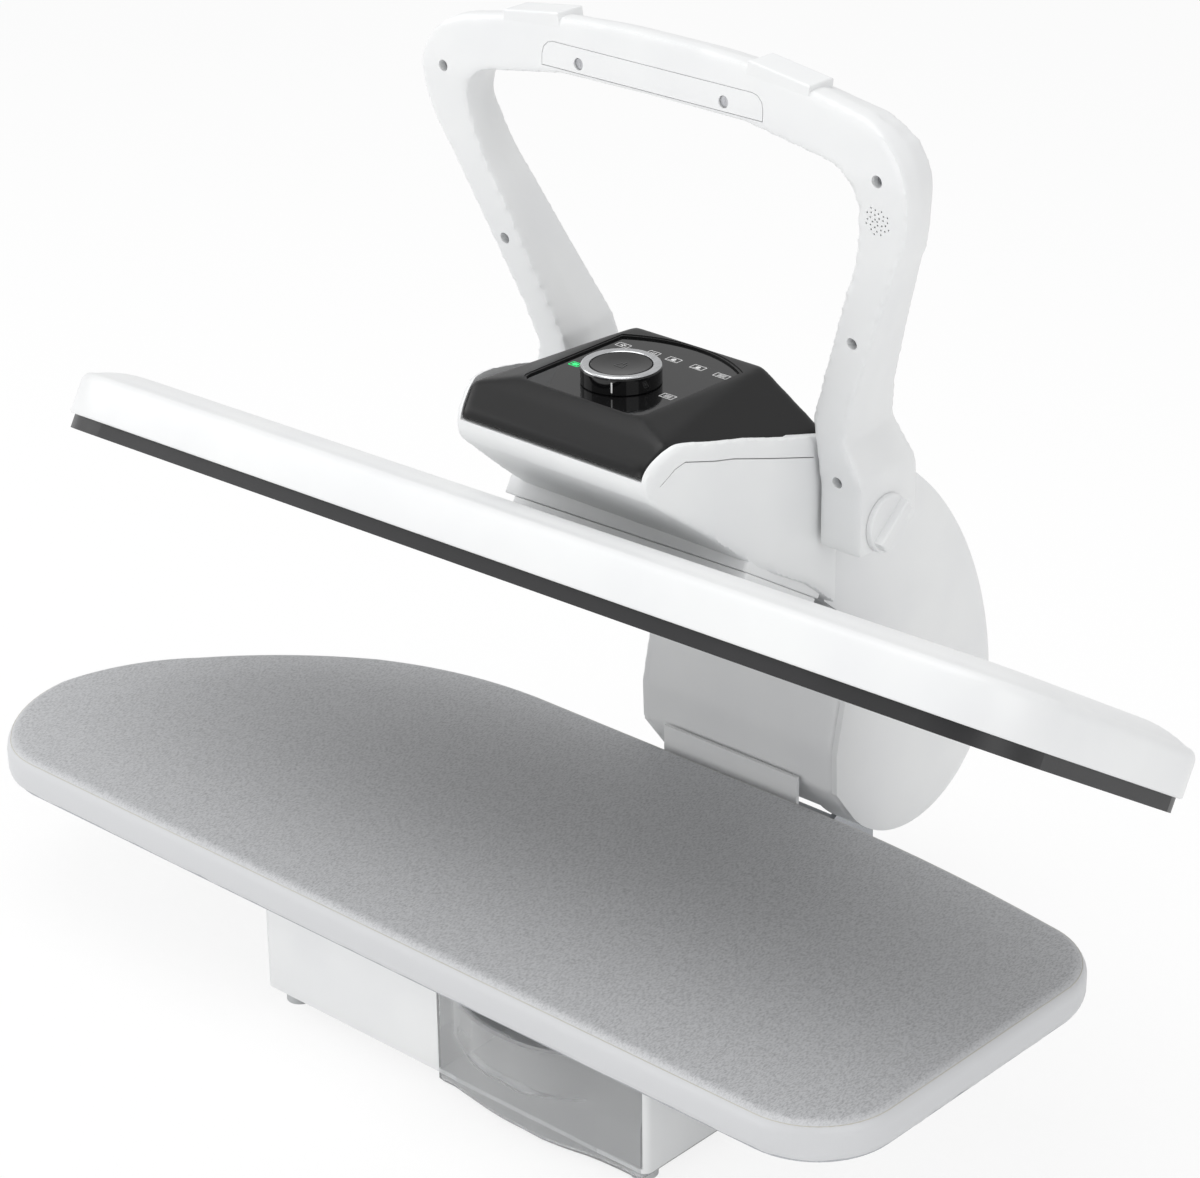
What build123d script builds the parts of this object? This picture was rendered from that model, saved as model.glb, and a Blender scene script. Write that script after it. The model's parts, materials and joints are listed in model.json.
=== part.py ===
from build123d import *
import math
import os

# A steam ironing press standing open. Millimetres, +Z up, +Y towards the hinge at the back.
# X = 0 is the middle plane of the hinge arm, Y = 0 the front edge of the ironing board,
# and Z = 0 the table under the rubber feet. On writing, everything moves sideways together so that
# the middle of the whole press stands over the origin.

# Driving dimensions
board_left = -420.0
board_length = 736.0
board_depth = 287.0
board_underside = 89.0
board_height = 26.0
cover_cloth = 2.4
pan_height = 12.0
pan_wall = 1.5

base_half_width = 158.5
base_front = 30.0
base_back = 300.0
base_bottom = 11.0
base_wall = 3.0
base_cover_thickness = 3.5
tray_top = board_underside - base_cover_thickness
plinth_back = 388.0
plinth_top = 27.0
foot_radius = 8.5
foot_stem_radius = 3.0
foot_x = 144.0
foot_front_y = 45.0
foot_back_y = 368.0

tank_left = -6.4
tank_right = 154.9
tank_back = 150.0
tank_wall = 2.5
tank_apron_bottom = 5.0
tank_floor = 14.3
tank_top = 80.0
tank_lip_bottom = 47.0
tank_bulge = 22.0
tank_low_bulge = 8.0
tank_front_y = 28.4
tank_middle_y = 40.0
lid_thickness = 2.5
fill_x = 110.0
fill_y = 80.0
fill_radius = 15.0
valve_x = 55.0
valve_radius = 5.0
slide_gap = 0.6
bay_depth_spare = 21.0

hinge_y = 392.0
hinge_z = 143.0
shaft_radius = 7.0
running_gap = 0.05
spring_radius = 15.5
spring_wire = 1.6
hose_y = 225.0
hose_z = 40.0
hose_bore = 3.0
drum_y = 371.0
drum_z = 151.0
drum_radius = 78.0
drum_half_width = 80.0
dome_half_width = 95.0
shell_wall = 3.0
mouth_half_width = 57.0

open_tilt = 31.64
shoe_droop = 1.24
seam_y = 66.3
seam_z = 341.8
shoe_offset = -18.5
shoe_length = 768.0
shoe_depth = 252.0
shoe_wall_height = 28.5
shoe_crown = 7.0
shoe_crown_run = 30.0
shoe_cover_wall = 2.6
shoe_edge_radius = 7.0
plate_thickness = 9.0
plate_wall = 3.0
heater_radius = 3.5
pivot_height = 49.0
mount_plate_thickness = 4.5
pivot_radius = 5.0
skirt_bottom = 42.0

pod_nose_half_width = 74.0
pod_rear_half_width = 95.0

dial_y = 190.0
dial_radius = 24.0
panel_z = 409.3
panel_thickness = 2.5
rim_z = 411.0
dial_height = 11.5
cowl_bottom = 376.0
cowl_wall = 2.5
band_wall = 3.5
power_cap_radius = 18.6

handle_lean = 0.18
handle_face_y = 215.0
handle_face_z = 560.5
handle_wall = 3.0
screw_hole_radius = 3.6

knob_radius = 18.0
knob_y = 276.0
knob_z = 328.5
foot_face_x = 129.0

contact_gap = 0.3
pod_back = 276.0
foot_inner_x = 97.0
lug_radius = 10.0
lock_radius = 5.0
handle_back_depth = 6.0
button_x = 93.0
button_y = 227.5
button_z = 604.0
button_length = 44.0
button_depth = 21.0
button_rise = 2.8
speaker_x = 161.7
speaker_z = 536.2
board_z = 393.0
chamber_height = 9.0


# Helpers
def block(x0, x1, y0, y1, z0, z1):
    size = Box(x1 - x0, y1 - y0, z1 - z0)
    return Pos((x0 + x1) / 2, (y0 + y1) / 2, (z0 + z1) / 2) * size


def rod_x(x0, x1, y, z, radius):
    rod = Rot(0, 90, 0) * Cylinder(radius, x1 - x0)
    return Pos((x0 + x1) / 2, y, z) * rod


def rod_y(y0, y1, x, z, radius):
    rod = Rot(90, 0, 0) * Cylinder(radius, y1 - y0)
    return Pos(x, (y0 + y1) / 2, z) * rod


def rod_z(z0, z1, x, y, radius):
    return Pos(x, y, (z0 + z1) / 2) * Cylinder(radius, z1 - z0)


def side_face(points):
    return Plane.YZ * make_face(Polyline(*points, close=True))


def side_prism(points, x0, x1):
    face = side_face(points)
    return Pos(x0, 0, 0) * extrude(face, amount=x1 - x0, dir=(1, 0, 0))


def plan_prism(points, z0, z1):
    face = make_face(Polyline(*points, close=True))
    return Pos(0, 0, z0) * extrude(face, amount=z1 - z0)


def front_prism(points, y0, y1):
    face = Plane.XZ * make_face(Polyline(*points, close=True))
    return Pos(0, y0, 0) * extrude(face, amount=y1 - y0, dir=(0, 1, 0))


def soften(solid, edges, *radii):
    for radius in radii:
        try:
            softened = fillet(edges, radius)
            if softened.is_valid:
                return softened
        except Exception:
            continue
    return solid


def one_solid(shape):
    solids = sorted(shape.solids(), key=lambda s: s.volume)
    return Part() + solids[-1]


# An ironing outline: straight front edge, square right end, long curved nose at the left.
# It runs from u = 0 at the nose tip to u = length, and from v = 0 at the front edge.
def press_outline(length, depth):
    across = length / 736.0
    deep = depth / 287.0

    def at(u, v):
        return (u * across, v * deep)

    corner = 0.7071
    front = Line(at(75, 0), at(681, 0))
    front_corner = ThreePointArc(at(681, 0), at(681 + 55 * corner, 55 - 55 * corner), at(736, 55))
    right = Line(at(736, 55), at(736, 220))
    back_corner = ThreePointArc(at(736, 220), at(719, 255), at(686, 270))
    taper = ThreePointArc(at(686, 270), at(600, 281.5), at(500, 287))
    back = Line(at(500, 287), at(256, 287))
    shoulder = ThreePointArc(at(256, 287), at(194, 278.5), at(137, 257))
    slant = ThreePointArc(at(137, 257), at(86, 221.5), at(43, 178.6))
    nose = ThreePointArc(at(43, 178.6), at(12.3, 135), at(0, 92))
    tip = ThreePointArc(at(0, 92), at(11, 49), at(35, 18))
    heel = ThreePointArc(at(35, 18), at(53, 5.5), at(75, 0))
    return make_face([front, front_corner, right, back_corner, taper, back, shoulder, slant, nose, tip, heel])


def outline_slab(length, depth, inset, z0, z1):
    face = press_outline(length, depth)
    if inset:
        face = offset(face, amount=-inset, kind=Kind.ARC)
    return Pos(0, 0, z0) * extrude(face, amount=z1 - z0)


# Frames of the pressing shoe. The level frame belongs to the arm. The hanging frame is turned
# about the pivot pin, because the shoe floats and hangs a little lower on the left.
tilt = math.radians(open_tilt)
droop = math.radians(shoe_droop)
level_normal = (0.0, math.sin(tilt), math.cos(tilt))
hang_axis = (math.cos(droop), math.sin(droop) * math.sin(tilt), math.sin(droop) * math.cos(tilt))
hang_normal = (-math.sin(droop), math.cos(droop) * math.sin(tilt), math.cos(droop) * math.cos(tilt))
pivot_point = (0.0, seam_y + pivot_height * level_normal[1], seam_z + pivot_height * level_normal[2])
hang_origin = tuple(p - pivot_height * n for p, n in zip(pivot_point, hang_normal))
level_frame = Plane(origin=(0, seam_y, seam_z), x_dir=(1, 0, 0), z_dir=level_normal)
hang_frame = Plane(origin=hang_origin, x_dir=hang_axis, z_dir=hang_normal)


def on_shoe(solid):
    return hang_frame.location * solid


def on_arm(solid):
    return level_frame.location * solid


# The handle's leaning front face: height h on it is measured from the table, like Z.
def face_y(z):
    return handle_face_y - handle_lean * (z - handle_face_z)


# Base
def make_base_tray():
    low = block(-base_half_width, base_half_width, base_front, plinth_back, base_bottom, plinth_top)
    tall = block(-base_half_width, base_half_width, base_front, base_back, base_bottom, tray_top)
    tray = low + tall
    edges = tray.edges().filter_by(Axis.Z)
    tray = soften(tray, edges, 6, 4, 2)
    room = block(-base_half_width + base_wall, base_half_width - base_wall, base_front + base_wall,
                 base_back - base_wall, base_bottom + base_wall, 90)
    rear_room = block(-base_half_width + base_wall, base_half_width - base_wall, base_back + base_wall,
                      plinth_back - base_wall, base_bottom - 1, plinth_top - base_wall)
    bay_left = tank_left - slide_gap
    bay_right = tank_right + slide_gap
    mouth = block(bay_left, bay_right, base_front - 1, base_front + 6, base_bottom + base_wall, 90)
    tray = tray - room - rear_room - mouth
    bay_end = tank_back + bay_depth_spare
    divider = block(bay_left - base_wall, bay_left, base_front + base_wall, bay_end + base_wall,
                    base_bottom + base_wall, tray_top)
    end_wall = block(bay_left, base_half_width - base_wall, bay_end, bay_end + base_wall,
                     base_bottom + base_wall, tray_top)
    tray = tray + divider + end_wall
    for x in (-foot_x, foot_x):
        for y in (foot_front_y, foot_back_y):
            top = base_bottom + base_wall if y < base_back else plinth_top - base_wall
            tray = tray + rod_z(base_bottom, top, x, y, foot_radius)
            tray = tray - rod_z(base_bottom - 1, base_bottom + base_wall, x, y, foot_stem_radius)
    inlet = rod_y(base_back - 6, base_back + 4, -110, 55, 8)
    tray = tray - inlet
    for x in (-26, 26):
        tray = tray - rod_z(plinth_top - 5, plinth_top + 1, x, 340, 3)
    socket = block(valve_x - 11, valve_x + 11, bay_end - 1, bay_end + base_wall + 1, hose_z - 7, hose_z + 7)
    return one_solid(tray - socket)


def make_base_cover():
    side = base_half_width - 0.4
    plate = block(-side, side, base_front + 0.4, base_back - 0.4, tray_top, board_underside)
    edges = plate.edges().filter_by(Axis.Z)
    return soften(plate, edges, 5, 3)


def make_feet():
    feet = Part()
    for x in (-foot_x, foot_x):
        for y in (foot_front_y, foot_back_y):
            pad = rod_z(0, base_bottom, x, y, foot_radius)
            stem = rod_z(base_bottom, base_bottom + base_wall, x, y, foot_stem_radius)
            feet = feet + pad + stem
    return feet


def make_board_pan():
    sheet = outline_slab(board_length, board_depth, 4.0, 0, pan_height)
    room = outline_slab(board_length, board_depth, 4.0 + pan_wall, -1, pan_height - pan_wall)
    pan = Pos(board_left, 0, board_underside) * (sheet - room)
    top = board_underside + pan_height - pan_wall
    for x in (-110, 110):
        rail = block(x - 8, x + 8, 45, 270, board_underside, top)
        slot = block(x - 6, x + 6, 47, 268, board_underside + 2, top)
        pan = pan + (rail - slot)
    return one_solid(pan)


def make_board_pad():
    low = board_underside + pan_height
    high = board_underside + board_height - cover_cloth
    face = press_outline(board_length, board_depth)
    face = offset(face, amount=-(cover_cloth + 0.2), kind=Kind.ARC)
    pad = extrude(face, amount=high - low)
    pad = soften(pad, pad.faces().sort_by(Axis.Z)[-1].edges(), 8, 6)
    return Pos(board_left, 0, low) * pad


def make_board_cover():
    outer = extrude(press_outline(board_length, board_depth), amount=board_height)
    outer = soften(outer, outer.faces().sort_by(Axis.Z)[-1].edges(), 10, 8)
    face = offset(press_outline(board_length, board_depth), amount=-cover_cloth, kind=Kind.ARC)
    inner = Pos(0, 0, -1) * extrude(face, amount=board_height - cover_cloth + 1)
    inner = soften(inner, inner.faces().sort_by(Axis.Z)[-1].edges(), 8, 6)
    return Pos(board_left, 0, board_underside) * (outer - inner)


def make_pedestal_frame():
    profile = [(322, 27), (382, 27), (382, 50), (411, 133), (412, 150), (404, 161), (392, 165),
               (380, 161), (373, 150), (352, 80), (322, 60)]
    left = side_prism(profile, -44, -40)
    right = side_prism(profile, 40, 44)
    foot = block(-44, 44, 322, 382, plinth_top, plinth_top + 4)
    brace = block(-44, 44, 356, 360, 31, 62)
    frame = left + right + foot + brace
    frame = frame - rod_x(-50, 50, hinge_y, hinge_z, shaft_radius)
    for x in (-26, 26):
        frame = frame - rod_z(20, 40, x, 340, 3.1)
    return one_solid(frame)


def make_pedestal_shroud():
    tongue_y = drum_y - drum_radius - 1.7
    wall = block(-55, 55, tongue_y - 2.4, tongue_y, 89, board_underside + 38.4)
    foot = block(-55, 55, tongue_y - 2.4, base_back - 1, 89, 91.5)
    return wall + foot


def make_hinge_shaft():
    shaft = rod_x(-50, 50, hinge_y, hinge_z, shaft_radius)
    for x in (-46, 46):
        groove = rod_x(x - 0.6, x + 0.6, hinge_y, hinge_z, shaft_radius + 1)
        core = rod_x(x - 0.6, x + 0.6, hinge_y, hinge_z, shaft_radius - 1)
        shaft = shaft - (groove - core)
    return shaft


def make_shaft_clips():
    clips = Part()
    for x in (-46, 46):
        ring = rod_x(x - 0.6, x + 0.6, hinge_y, hinge_z, shaft_radius + 3)
        bore = rod_x(x - 1, x + 1, hinge_y, hinge_z, shaft_radius - 1)
        slot = block(x - 1, x + 1, hinge_y - 3, hinge_y + 3, hinge_z, hinge_z + shaft_radius + 4)
        clips = clips + (ring - bore - slot)
    return clips


def make_spring_bobbins():
    bobbins = Part()
    for side in (-1, 1):
        x0, x1 = sorted((side * 6.0, side * 29.0))
        tube = rod_x(x0, x1, hinge_y, hinge_z, spring_radius - spring_wire)
        bore = rod_x(x0 - 1, x1 + 1, hinge_y, hinge_z, shaft_radius)
        bobbins = bobbins + (tube - bore)
    return bobbins


def make_springs():
    turns = 5
    pitch = 2 * spring_wire + 0.3
    path = Helix(pitch, pitch * turns, spring_radius)
    wire = Plane(origin=path @ 0, z_dir=path % 0) * Circle(spring_wire)
    coil = Rot(0, 90, 0) * sweep(wire, path=path)
    springs = Part()
    for x in (8 + spring_wire, -8 - spring_wire - pitch * turns):
        springs = springs + Pos(x, hinge_y, hinge_z) * coil
    return springs


def make_water_pump():
    body = block(-60, -24, 210, 262, 22, 50)
    motor = rod_y(262, 288, -42, 36, 12)
    spout = rod_z(50, 58, -42, 250, 4)
    inlet = rod_x(-24, -12, hose_y, hose_z, hose_bore)
    legs = block(-58, -26, 214, 258, base_bottom + base_wall, 22)
    return body + motor + spout + inlet + legs


def make_water_hose():
    start = tank_back + bay_depth_spare + base_wall
    corner = Vector(valve_x, hose_y, hose_z)
    path = Polyline((valve_x, start, hose_z), corner, (-24, hose_y, hose_z))
    path = fillet(path.vertices().sort_by_distance(corner)[0], 18)
    ring = Plane(origin=path @ 0, z_dir=path % 0)
    outer = sweep(ring * Circle(hose_bore + 1.5), path=path)
    inner = sweep(ring * Circle(hose_bore), path=path)
    return outer - inner


def make_tank_socket():
    bay_end = tank_back + bay_depth_spare
    plate = block(valve_x - 15, valve_x + 15, bay_end - 6, bay_end, base_bottom + base_wall, hose_z + 20)
    nose = rod_y(tank_back + 3 + contact_gap, bay_end - 6, valve_x, hose_z, 7)
    barb = rod_y(bay_end + base_wall, bay_end + base_wall + 10, valve_x, hose_z, hose_bore)
    back_plate = block(valve_x - 11, valve_x + 11, bay_end, bay_end + base_wall, hose_z - 7, hose_z + 7)
    return plate + nose + back_plate + barb


def make_inlet_gland():
    collar = rod_y(base_back, base_back + 5, -110, 55, 11)
    neck = rod_y(base_back - 5.5, base_back, -110, 55, 7.9)
    bore = rod_y(base_back - 8, base_back + 8, -110, 55, 4)
    return collar + neck - bore


def make_base_screws():
    screws = Part()
    for x in (-26, 26):
        head = rod_z(plinth_top + 4, plinth_top + 7, x, 340, 5)
        stem = rod_z(plinth_top - 3, plinth_top + 4, x, 340, 3)
        screws = screws + head + stem
    return screws


# Water tank: its front bulges out in the middle, more above the lip than below it.
def tank_front(inset, z0, z1, bulge):
    left = tank_left + inset
    right = tank_right - inset
    front = tank_front_y + inset
    crest = front - bulge
    rise = (left + 18 + right - 40) / 2
    edges = [
        Line((left, front), (left + 6, front)),
        ThreePointArc((left + 6, front), (left + 22, front - 0.27 * bulge), (left + 34, front - 0.62 * bulge)),
        ThreePointArc((left + 34, front - 0.62 * bulge), (rise, crest), (right - 54, front - 0.72 * bulge)),
        ThreePointArc((right - 54, front - 0.72 * bulge), (right - 32, front - 0.2 * bulge), (right - 10, front)),
        Polyline((right - 10, front), (right, front), (right, tank_middle_y), (left, tank_middle_y),
                 (left, front)),
    ]
    return Pos(0, 0, z0) * extrude(make_face(edges), amount=z1 - z0)


def make_tank():
    rim = tank_top - lid_thickness
    wall = tank_wall
    outer = tank_front(0, tank_lip_bottom, rim, tank_bulge) + tank_front(0, tank_apron_bottom, rim, tank_low_bulge)
    outer = outer - block(tank_left - 1, tank_right + 1, base_front - 0.4, tank_middle_y + 1, 0, tank_floor)
    main = block(tank_left, tank_right, tank_middle_y, tank_back, tank_floor, rim)
    main = soften(main, main.edges().filter_by(Axis.Z).group_by(Axis.Y)[-1], 8, 5)
    low = tank_floor + wall
    room = tank_front(wall, tank_lip_bottom + wall, tank_top, tank_bulge)
    room = room + tank_front(wall, low, tank_top, tank_low_bulge)
    room = room + block(tank_left + wall, tank_right - wall, tank_middle_y - 1, tank_back - wall, low, tank_top)
    outlet = rod_y(tank_back - 5, tank_back + 5, valve_x, hose_z, valve_radius)
    return one_solid(outer + main - room - outlet)


def make_tank_lid():
    rim = tank_top - lid_thickness
    lid = tank_front(0, rim, tank_top, tank_bulge)
    rear = block(tank_left, tank_right, tank_middle_y, tank_back, rim, tank_top)
    rear = soften(rear, rear.edges().filter_by(Axis.Z).group_by(Axis.Y)[-1], 8, 5)
    hole = rod_z(rim - 1, tank_top + 1, fill_x, fill_y, fill_radius)
    return one_solid(lid + rear - hole)


def make_fill_cap():
    flange = rod_z(tank_top, tank_top + 2.2, fill_x, fill_y, fill_radius + 3)
    plug = rod_z(tank_top - 6, tank_top, fill_x, fill_y, fill_radius - 0.2)
    return flange + plug


def make_tank_valve():
    barrel = rod_y(tank_back - 12, tank_back, valve_x, hose_z, valve_radius - 0.2)
    flange = rod_y(tank_back, tank_back + 3, valve_x, hose_z, valve_radius + 3)
    bore = rod_y(tank_back - 14, tank_back + 4, valve_x, hose_z, 2)
    return barrel + flange - bore


# Arm
def arm_face(inset=0.0):
    up = board_underside
    edges = [
        Polyline((130, 284 + up), (127.2, 291 + up), (127.2, 295 + up), (138, 295 + up), (144, 302 + up),
                 (152, 306 + up), (185, 299 + up), (pod_back, 275 + up), (286, 276.5 + up)),
        ThreePointArc((286, 276.5 + up), (340, 248 + up), (385, 211 + up)),
        ThreePointArc((385, 211 + up), (433, 135 + up), (449, drum_z)),
        ThreePointArc((449, drum_z), (drum_y, drum_z - drum_radius), (drum_y - drum_radius, drum_z)),
        Polyline((drum_y - drum_radius, drum_z), (301, 98 + up), (308, 132 + up)),
        ThreePointArc((308, 132 + up), (305.5, 149 + up), (295, 159 + up)),
        Polyline((295, 159 + up), (249, 197.5 + up), (207, 221.5 + up), (165, 256 + up), (130, 284 + up)),
    ]
    face = make_face(edges)
    if inset:
        face = offset(face, amount=-inset, kind=Kind.ARC)
    return face


def across(face, half_width):
    solid = extrude(Plane.YZ * face, amount=2 * half_width, dir=(1, 0, 0))
    return Pos(-half_width, 0, 0) * solid


def pod_plan(inset=0.0):
    nose = pod_nose_half_width - inset
    rear = pod_rear_half_width - inset
    slim = drum_half_width - inset
    step = pod_back - inset
    points = [(nose, 110), (nose, 127), (0.5 * (nose + rear) + 4, 170), (rear - 2, 215), (rear, 250), (rear, step),
              (slim, step), (slim, 480)]
    return plan_prism(points + [(-x, y) for x, y in reversed(points)], 0, 470)


def make_arm_shell():
    outer = across(arm_face(), 110) & pod_plan()
    inner = across(arm_face(shell_wall), 110) & pod_plan(shell_wall)
    shell = outer - inner
    shell = shell - block(-mouth_half_width, mouth_half_width, 280, 470, 40, board_underside + 30)
    shell = shell - side_prism([(146, 380), (150, 420), (262, 400), (262, 355)], -60, 60)
    shell = shell - on_arm(block(-36, 36, 130, 200, 30, 90))
    for side in (-1, 1):
        x0, x1 = sorted((side * (drum_half_width - shell_wall), side * foot_inner_x))
        x2, x3 = sorted((side * 70, side * 100))
        radius = lock_radius + running_gap if side > 0 else lock_radius
        shell = shell + rod_x(x0, x1, knob_y, knob_z, lug_radius)
        shell = shell - rod_x(x2, x3, knob_y, knob_z, radius)
    return one_solid(shell)


def make_side_cover(side):
    keep = Pos(pod_back + 125, 200) * Rectangle(250, 500)
    face = arm_face() & keep
    hollow = offset(face, amount=-11, kind=Kind.ARC)
    depth = dome_half_width - drum_half_width
    cover = Pos(drum_half_width, 0, 0) * extrude(Plane.YZ * face, amount=depth, dir=(1, 0, 0))
    rim = [e for e in cover.edges().group_by(Axis.X)[-1] if e.center().Y > pod_back + 0.5]
    try:
        cover = chamfer(rim, depth / 2, depth / 2)
    except Exception:
        cover = soften(cover, rim, 6, 4)
    room = Pos(drum_half_width - 1, 0, 0) * extrude(Plane.YZ * hollow, amount=depth / 2, dir=(1, 0, 0))
    cover = cover - room - rod_x(70, 110, knob_y, knob_z, lug_radius + 0.2)
    cover = one_solid(cover)
    return cover if side > 0 else mirror(cover, about=Plane.YZ)


def make_pod_band():
    up = board_underside
    profile = [(127.2, 295 + up), (138, 295 + up), (144, 302 + up), (152, 306 + up), (185, 299 + up),
               (pod_back, 275 + up), (pod_back, 287 + up), (258, 291 + up), (232, 297 + up),
               (196, 307 + up), (162, 314 + up), (148.5, 316 + up), (140, 312 + up), (132, 306 + up),
               (128, 299 + up)]
    band = side_prism(profile, -110, 110) & pod_plan()
    room = pod_plan(band_wall) & block(-110, 110, 128 - contact_gap / 2, 267, cowl_bottom - 1, 460)
    low_room = pod_plan(shell_wall + 2) & block(-110, 110, 131, pod_back - shell_wall, 300, cowl_bottom - 1)
    return one_solid(band - room - low_room)


def trim_beyond(solid, point, normal):
    waste = Plane(origin=point, z_dir=normal).location * (Pos(0, 0, 200) * Box(900, 900, 400))
    return solid - waste


# The cowl's outside, or its inside when inset: a front that curls over, a flat top at rim_z,
# and sides that fall towards the handle's legs.
def cowl_body(inset):
    up = board_underside
    low = cowl_bottom - inset
    front = [(128, low), (128, 299.5 + up), (131, 306.5 + up), (136.7, 311.6 + up), (143.4, 316 + up),
             (150, rim_z)]
    profile = [(y + inset, z - 0.6 * inset) for y, z in front] + [(290, rim_z - 0.6 * inset), (290, low)]
    body = side_prism(profile, -110, 110) & pod_plan(band_wall + contact_gap / 2 + inset)
    low_front = Vector(71, 152, 316.3 + up)
    low_back = Vector(91, 256, 292 + up)
    high_back = Vector(52, 240, rim_z)
    high_front = Vector(48, 158, rim_z)
    steep = (low_back - low_front).cross(high_back - low_front).normalized()
    gentle = (high_back - low_front).cross(high_front - low_front).normalized()
    for normal in (steep, gentle):
        body = trim_beyond(body, low_front - normal * inset, normal)
        mirrored_point = Vector(-low_front.X, low_front.Y, low_front.Z)
        mirrored_normal = Vector(-normal.X, normal.Y, normal.Z)
        body = trim_beyond(body, mirrored_point - mirrored_normal * inset, mirrored_normal)
    rear = Vector(0, 29, 5).normalized()
    body = trim_beyond(body, Vector(0, 260, rim_z) - rear * inset, rear)
    return body & block(-120, 120, 100, 300, low, rim_z - inset)


# The sunk window for the glossy panel: straight front and sides and an arched back.
def panel_plan(grow, z0, z1):
    half = 46 + grow
    front = 154 - grow
    side_end = 242 + grow
    edges = [
        Polyline((-half, side_end), (-half, front), (half, front), (half, side_end)),
        ThreePointArc((half, side_end), (0, 256 + grow), (-half, side_end)),
    ]
    prism = Pos(0, 0, z0) * extrude(make_face(edges), amount=z1 - z0)
    return soften(prism, prism.edges().filter_by(Axis.Z), 7 + grow, 4)


def make_cowl():
    outer = cowl_body(0.0)
    inner = cowl_body(cowl_wall)
    collar = panel_plan(2.0, panel_z - 5, rim_z) & outer
    cowl = outer - inner + collar - across(arm_face(), 110)
    cowl = cowl - panel_plan(0, panel_z - panel_thickness, rim_z + 5)
    return one_solid(cowl - panel_plan(-3, panel_z - 10, rim_z))


def make_control_panel():
    panel = panel_plan(-0.15, panel_z - panel_thickness, panel_z)
    for x in (-34, 34):
        for y in (174, 220):
            panel = panel + rod_z(board_z + 1.6, panel_z - panel_thickness, x, y, 2.5)
    return panel - rod_z(panel_z - 5, panel_z + 5, 0, dial_y, 6)


def make_control_board():
    return block(-38.5, 38.5, 168, 228, board_z, board_z + 1.6)


def make_dial_encoder():
    body = block(-8, 8, dial_y - 8, dial_y + 8, board_z + 1.6, board_z + 9)
    return body - rod_z(board_z + 3, panel_z, 0, dial_y, 3 + running_gap)


def make_dial_body():
    top = panel_z + dial_height - 2
    body = rod_z(panel_z + 0.3, top, 0, dial_y, dial_radius)
    shaft = rod_z(board_z + 3.6, panel_z + 0.3, 0, dial_y, 3)
    pocket = rod_z(top - 3.2, top + 1, 0, dial_y, power_cap_radius + 0.3)
    bore = rod_z(panel_z + 4, top, 0, dial_y, 2.5 + running_gap)
    return body + shaft - pocket - bore


def make_dial_ring():
    top = panel_z + dial_height
    ring = rod_z(top - 2, top, 0, dial_y, dial_radius)
    return ring - rod_z(top - 3, top + 1, 0, dial_y, power_cap_radius + 0.4)


def make_power_cap():
    top = panel_z + dial_height - 0.3
    cap = rod_z(top - 2.8, top, 0, dial_y, power_cap_radius)
    return cap + rod_z(panel_z + 6, top - 2.8, 0, dial_y, 2.5)


def make_neck_skirt():
    skirt = on_arm(block(-90, 90, 125, 205, skirt_bottom, 75))
    room = on_arm(block(-87, 87, 128, 202, 30, 90))
    body = across(arm_face(), 110)
    return one_solid(skirt - room - body)


def make_arm_frame():
    plates = Part()
    profile = [(404, 131), (412, 143), (404, 158), (386, 210), (340, 288), (285, 350), (262, 345), (216, 358),
               (213, 320), (209, 314), (256, 290), (298, 258), (318, 222), (330, 190), (372, 138), (380, 131)]
    for x0, x1 in ((-34, -30), (30, 34)):
        plates = plates + side_prism(profile, x0, x1)
    low = shoe_wall_height + shoe_crown + mount_plate_thickness + 1.5
    ears = on_arm(block(-34, 34, 136, 140, low, 72) + block(-34, 34, 190, 194, low, 72))
    frame = plates + ears
    frame = frame - rod_x(-50, 50, hinge_y, hinge_z, shaft_radius + running_gap)
    frame = frame - on_arm(rod_y(120, 210, 0, pivot_height, pivot_radius))
    return one_solid(frame)


def make_pivot_pin():
    pin = rod_y(133, 197, 0, pivot_height, pivot_radius)
    head = rod_y(133, 136, 0, pivot_height, pivot_radius + 2.5)
    clip = rod_y(194, 195.2, 0, pivot_height, pivot_radius + 2.5)
    return on_arm(pin + head + clip)


# Handle
def handle_face(inset=0.0):
    up = board_underside
    half = [
        ThreePointArc((0, 520 + up), (75, 516.3 + up), (145, 504.5 + up)),
        ThreePointArc((145, 504.5 + up), (172, 490 + up), (185, 467 + up)),
        ThreePointArc((185, 467 + up), (182, 442 + up), (172.5, 420 + up)),
        Line((172.5, 420 + up), (128, 322 + up)),
        Line((128, 322 + up), (120, 296 + up)),
        Polyline((120, 296 + up), (foot_face_x, 272 + up), (foot_face_x, 222 + up), (foot_inner_x, 222 + up),
                 (foot_inner_x, 306 + up), (132.5, 397 + up)),
        ThreePointArc((132.5, 397 + up), (143, 424 + up), (147, 448 + up)),
        ThreePointArc((147, 448 + up), (142.5, 467 + up), (125, 476 + up)),
        ThreePointArc((125, 476 + up), (97, 480.5 + up), (70, 485 + up)),
        Line((70, 485 + up), (0, 486 + up)),
        Line((0, 486 + up), (0, 520 + up)),
    ]
    right = make_face(half)
    face = right + mirror(right, about=Plane.YZ)
    if inset:
        face = offset(face, amount=-inset, kind=Kind.ARC)
    return face


def handle_prism(inset=0.0):
    face = Plane.XZ * handle_face(inset)
    return Pos(0, 150, 0) * extrude(face, amount=200, dir=(0, 1, 0))


def front_line(shift):
    up = board_underside
    top = handle_face_y - handle_lean * (540 + up - handle_face_z) + shift
    knee = handle_face_y - handle_lean * (260 + up - handle_face_z) + shift
    return [(top, 540 + up), (knee, 260 + up), (knee, 200 + up)]


def back_line(shift):
    up = board_underside
    points = [(314, 200), (314, 263), (298, 307), (273, 377), (249, 450), (247, 505), (243, 540)]
    return [(y + shift, z + up) for y, z in points]


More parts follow.
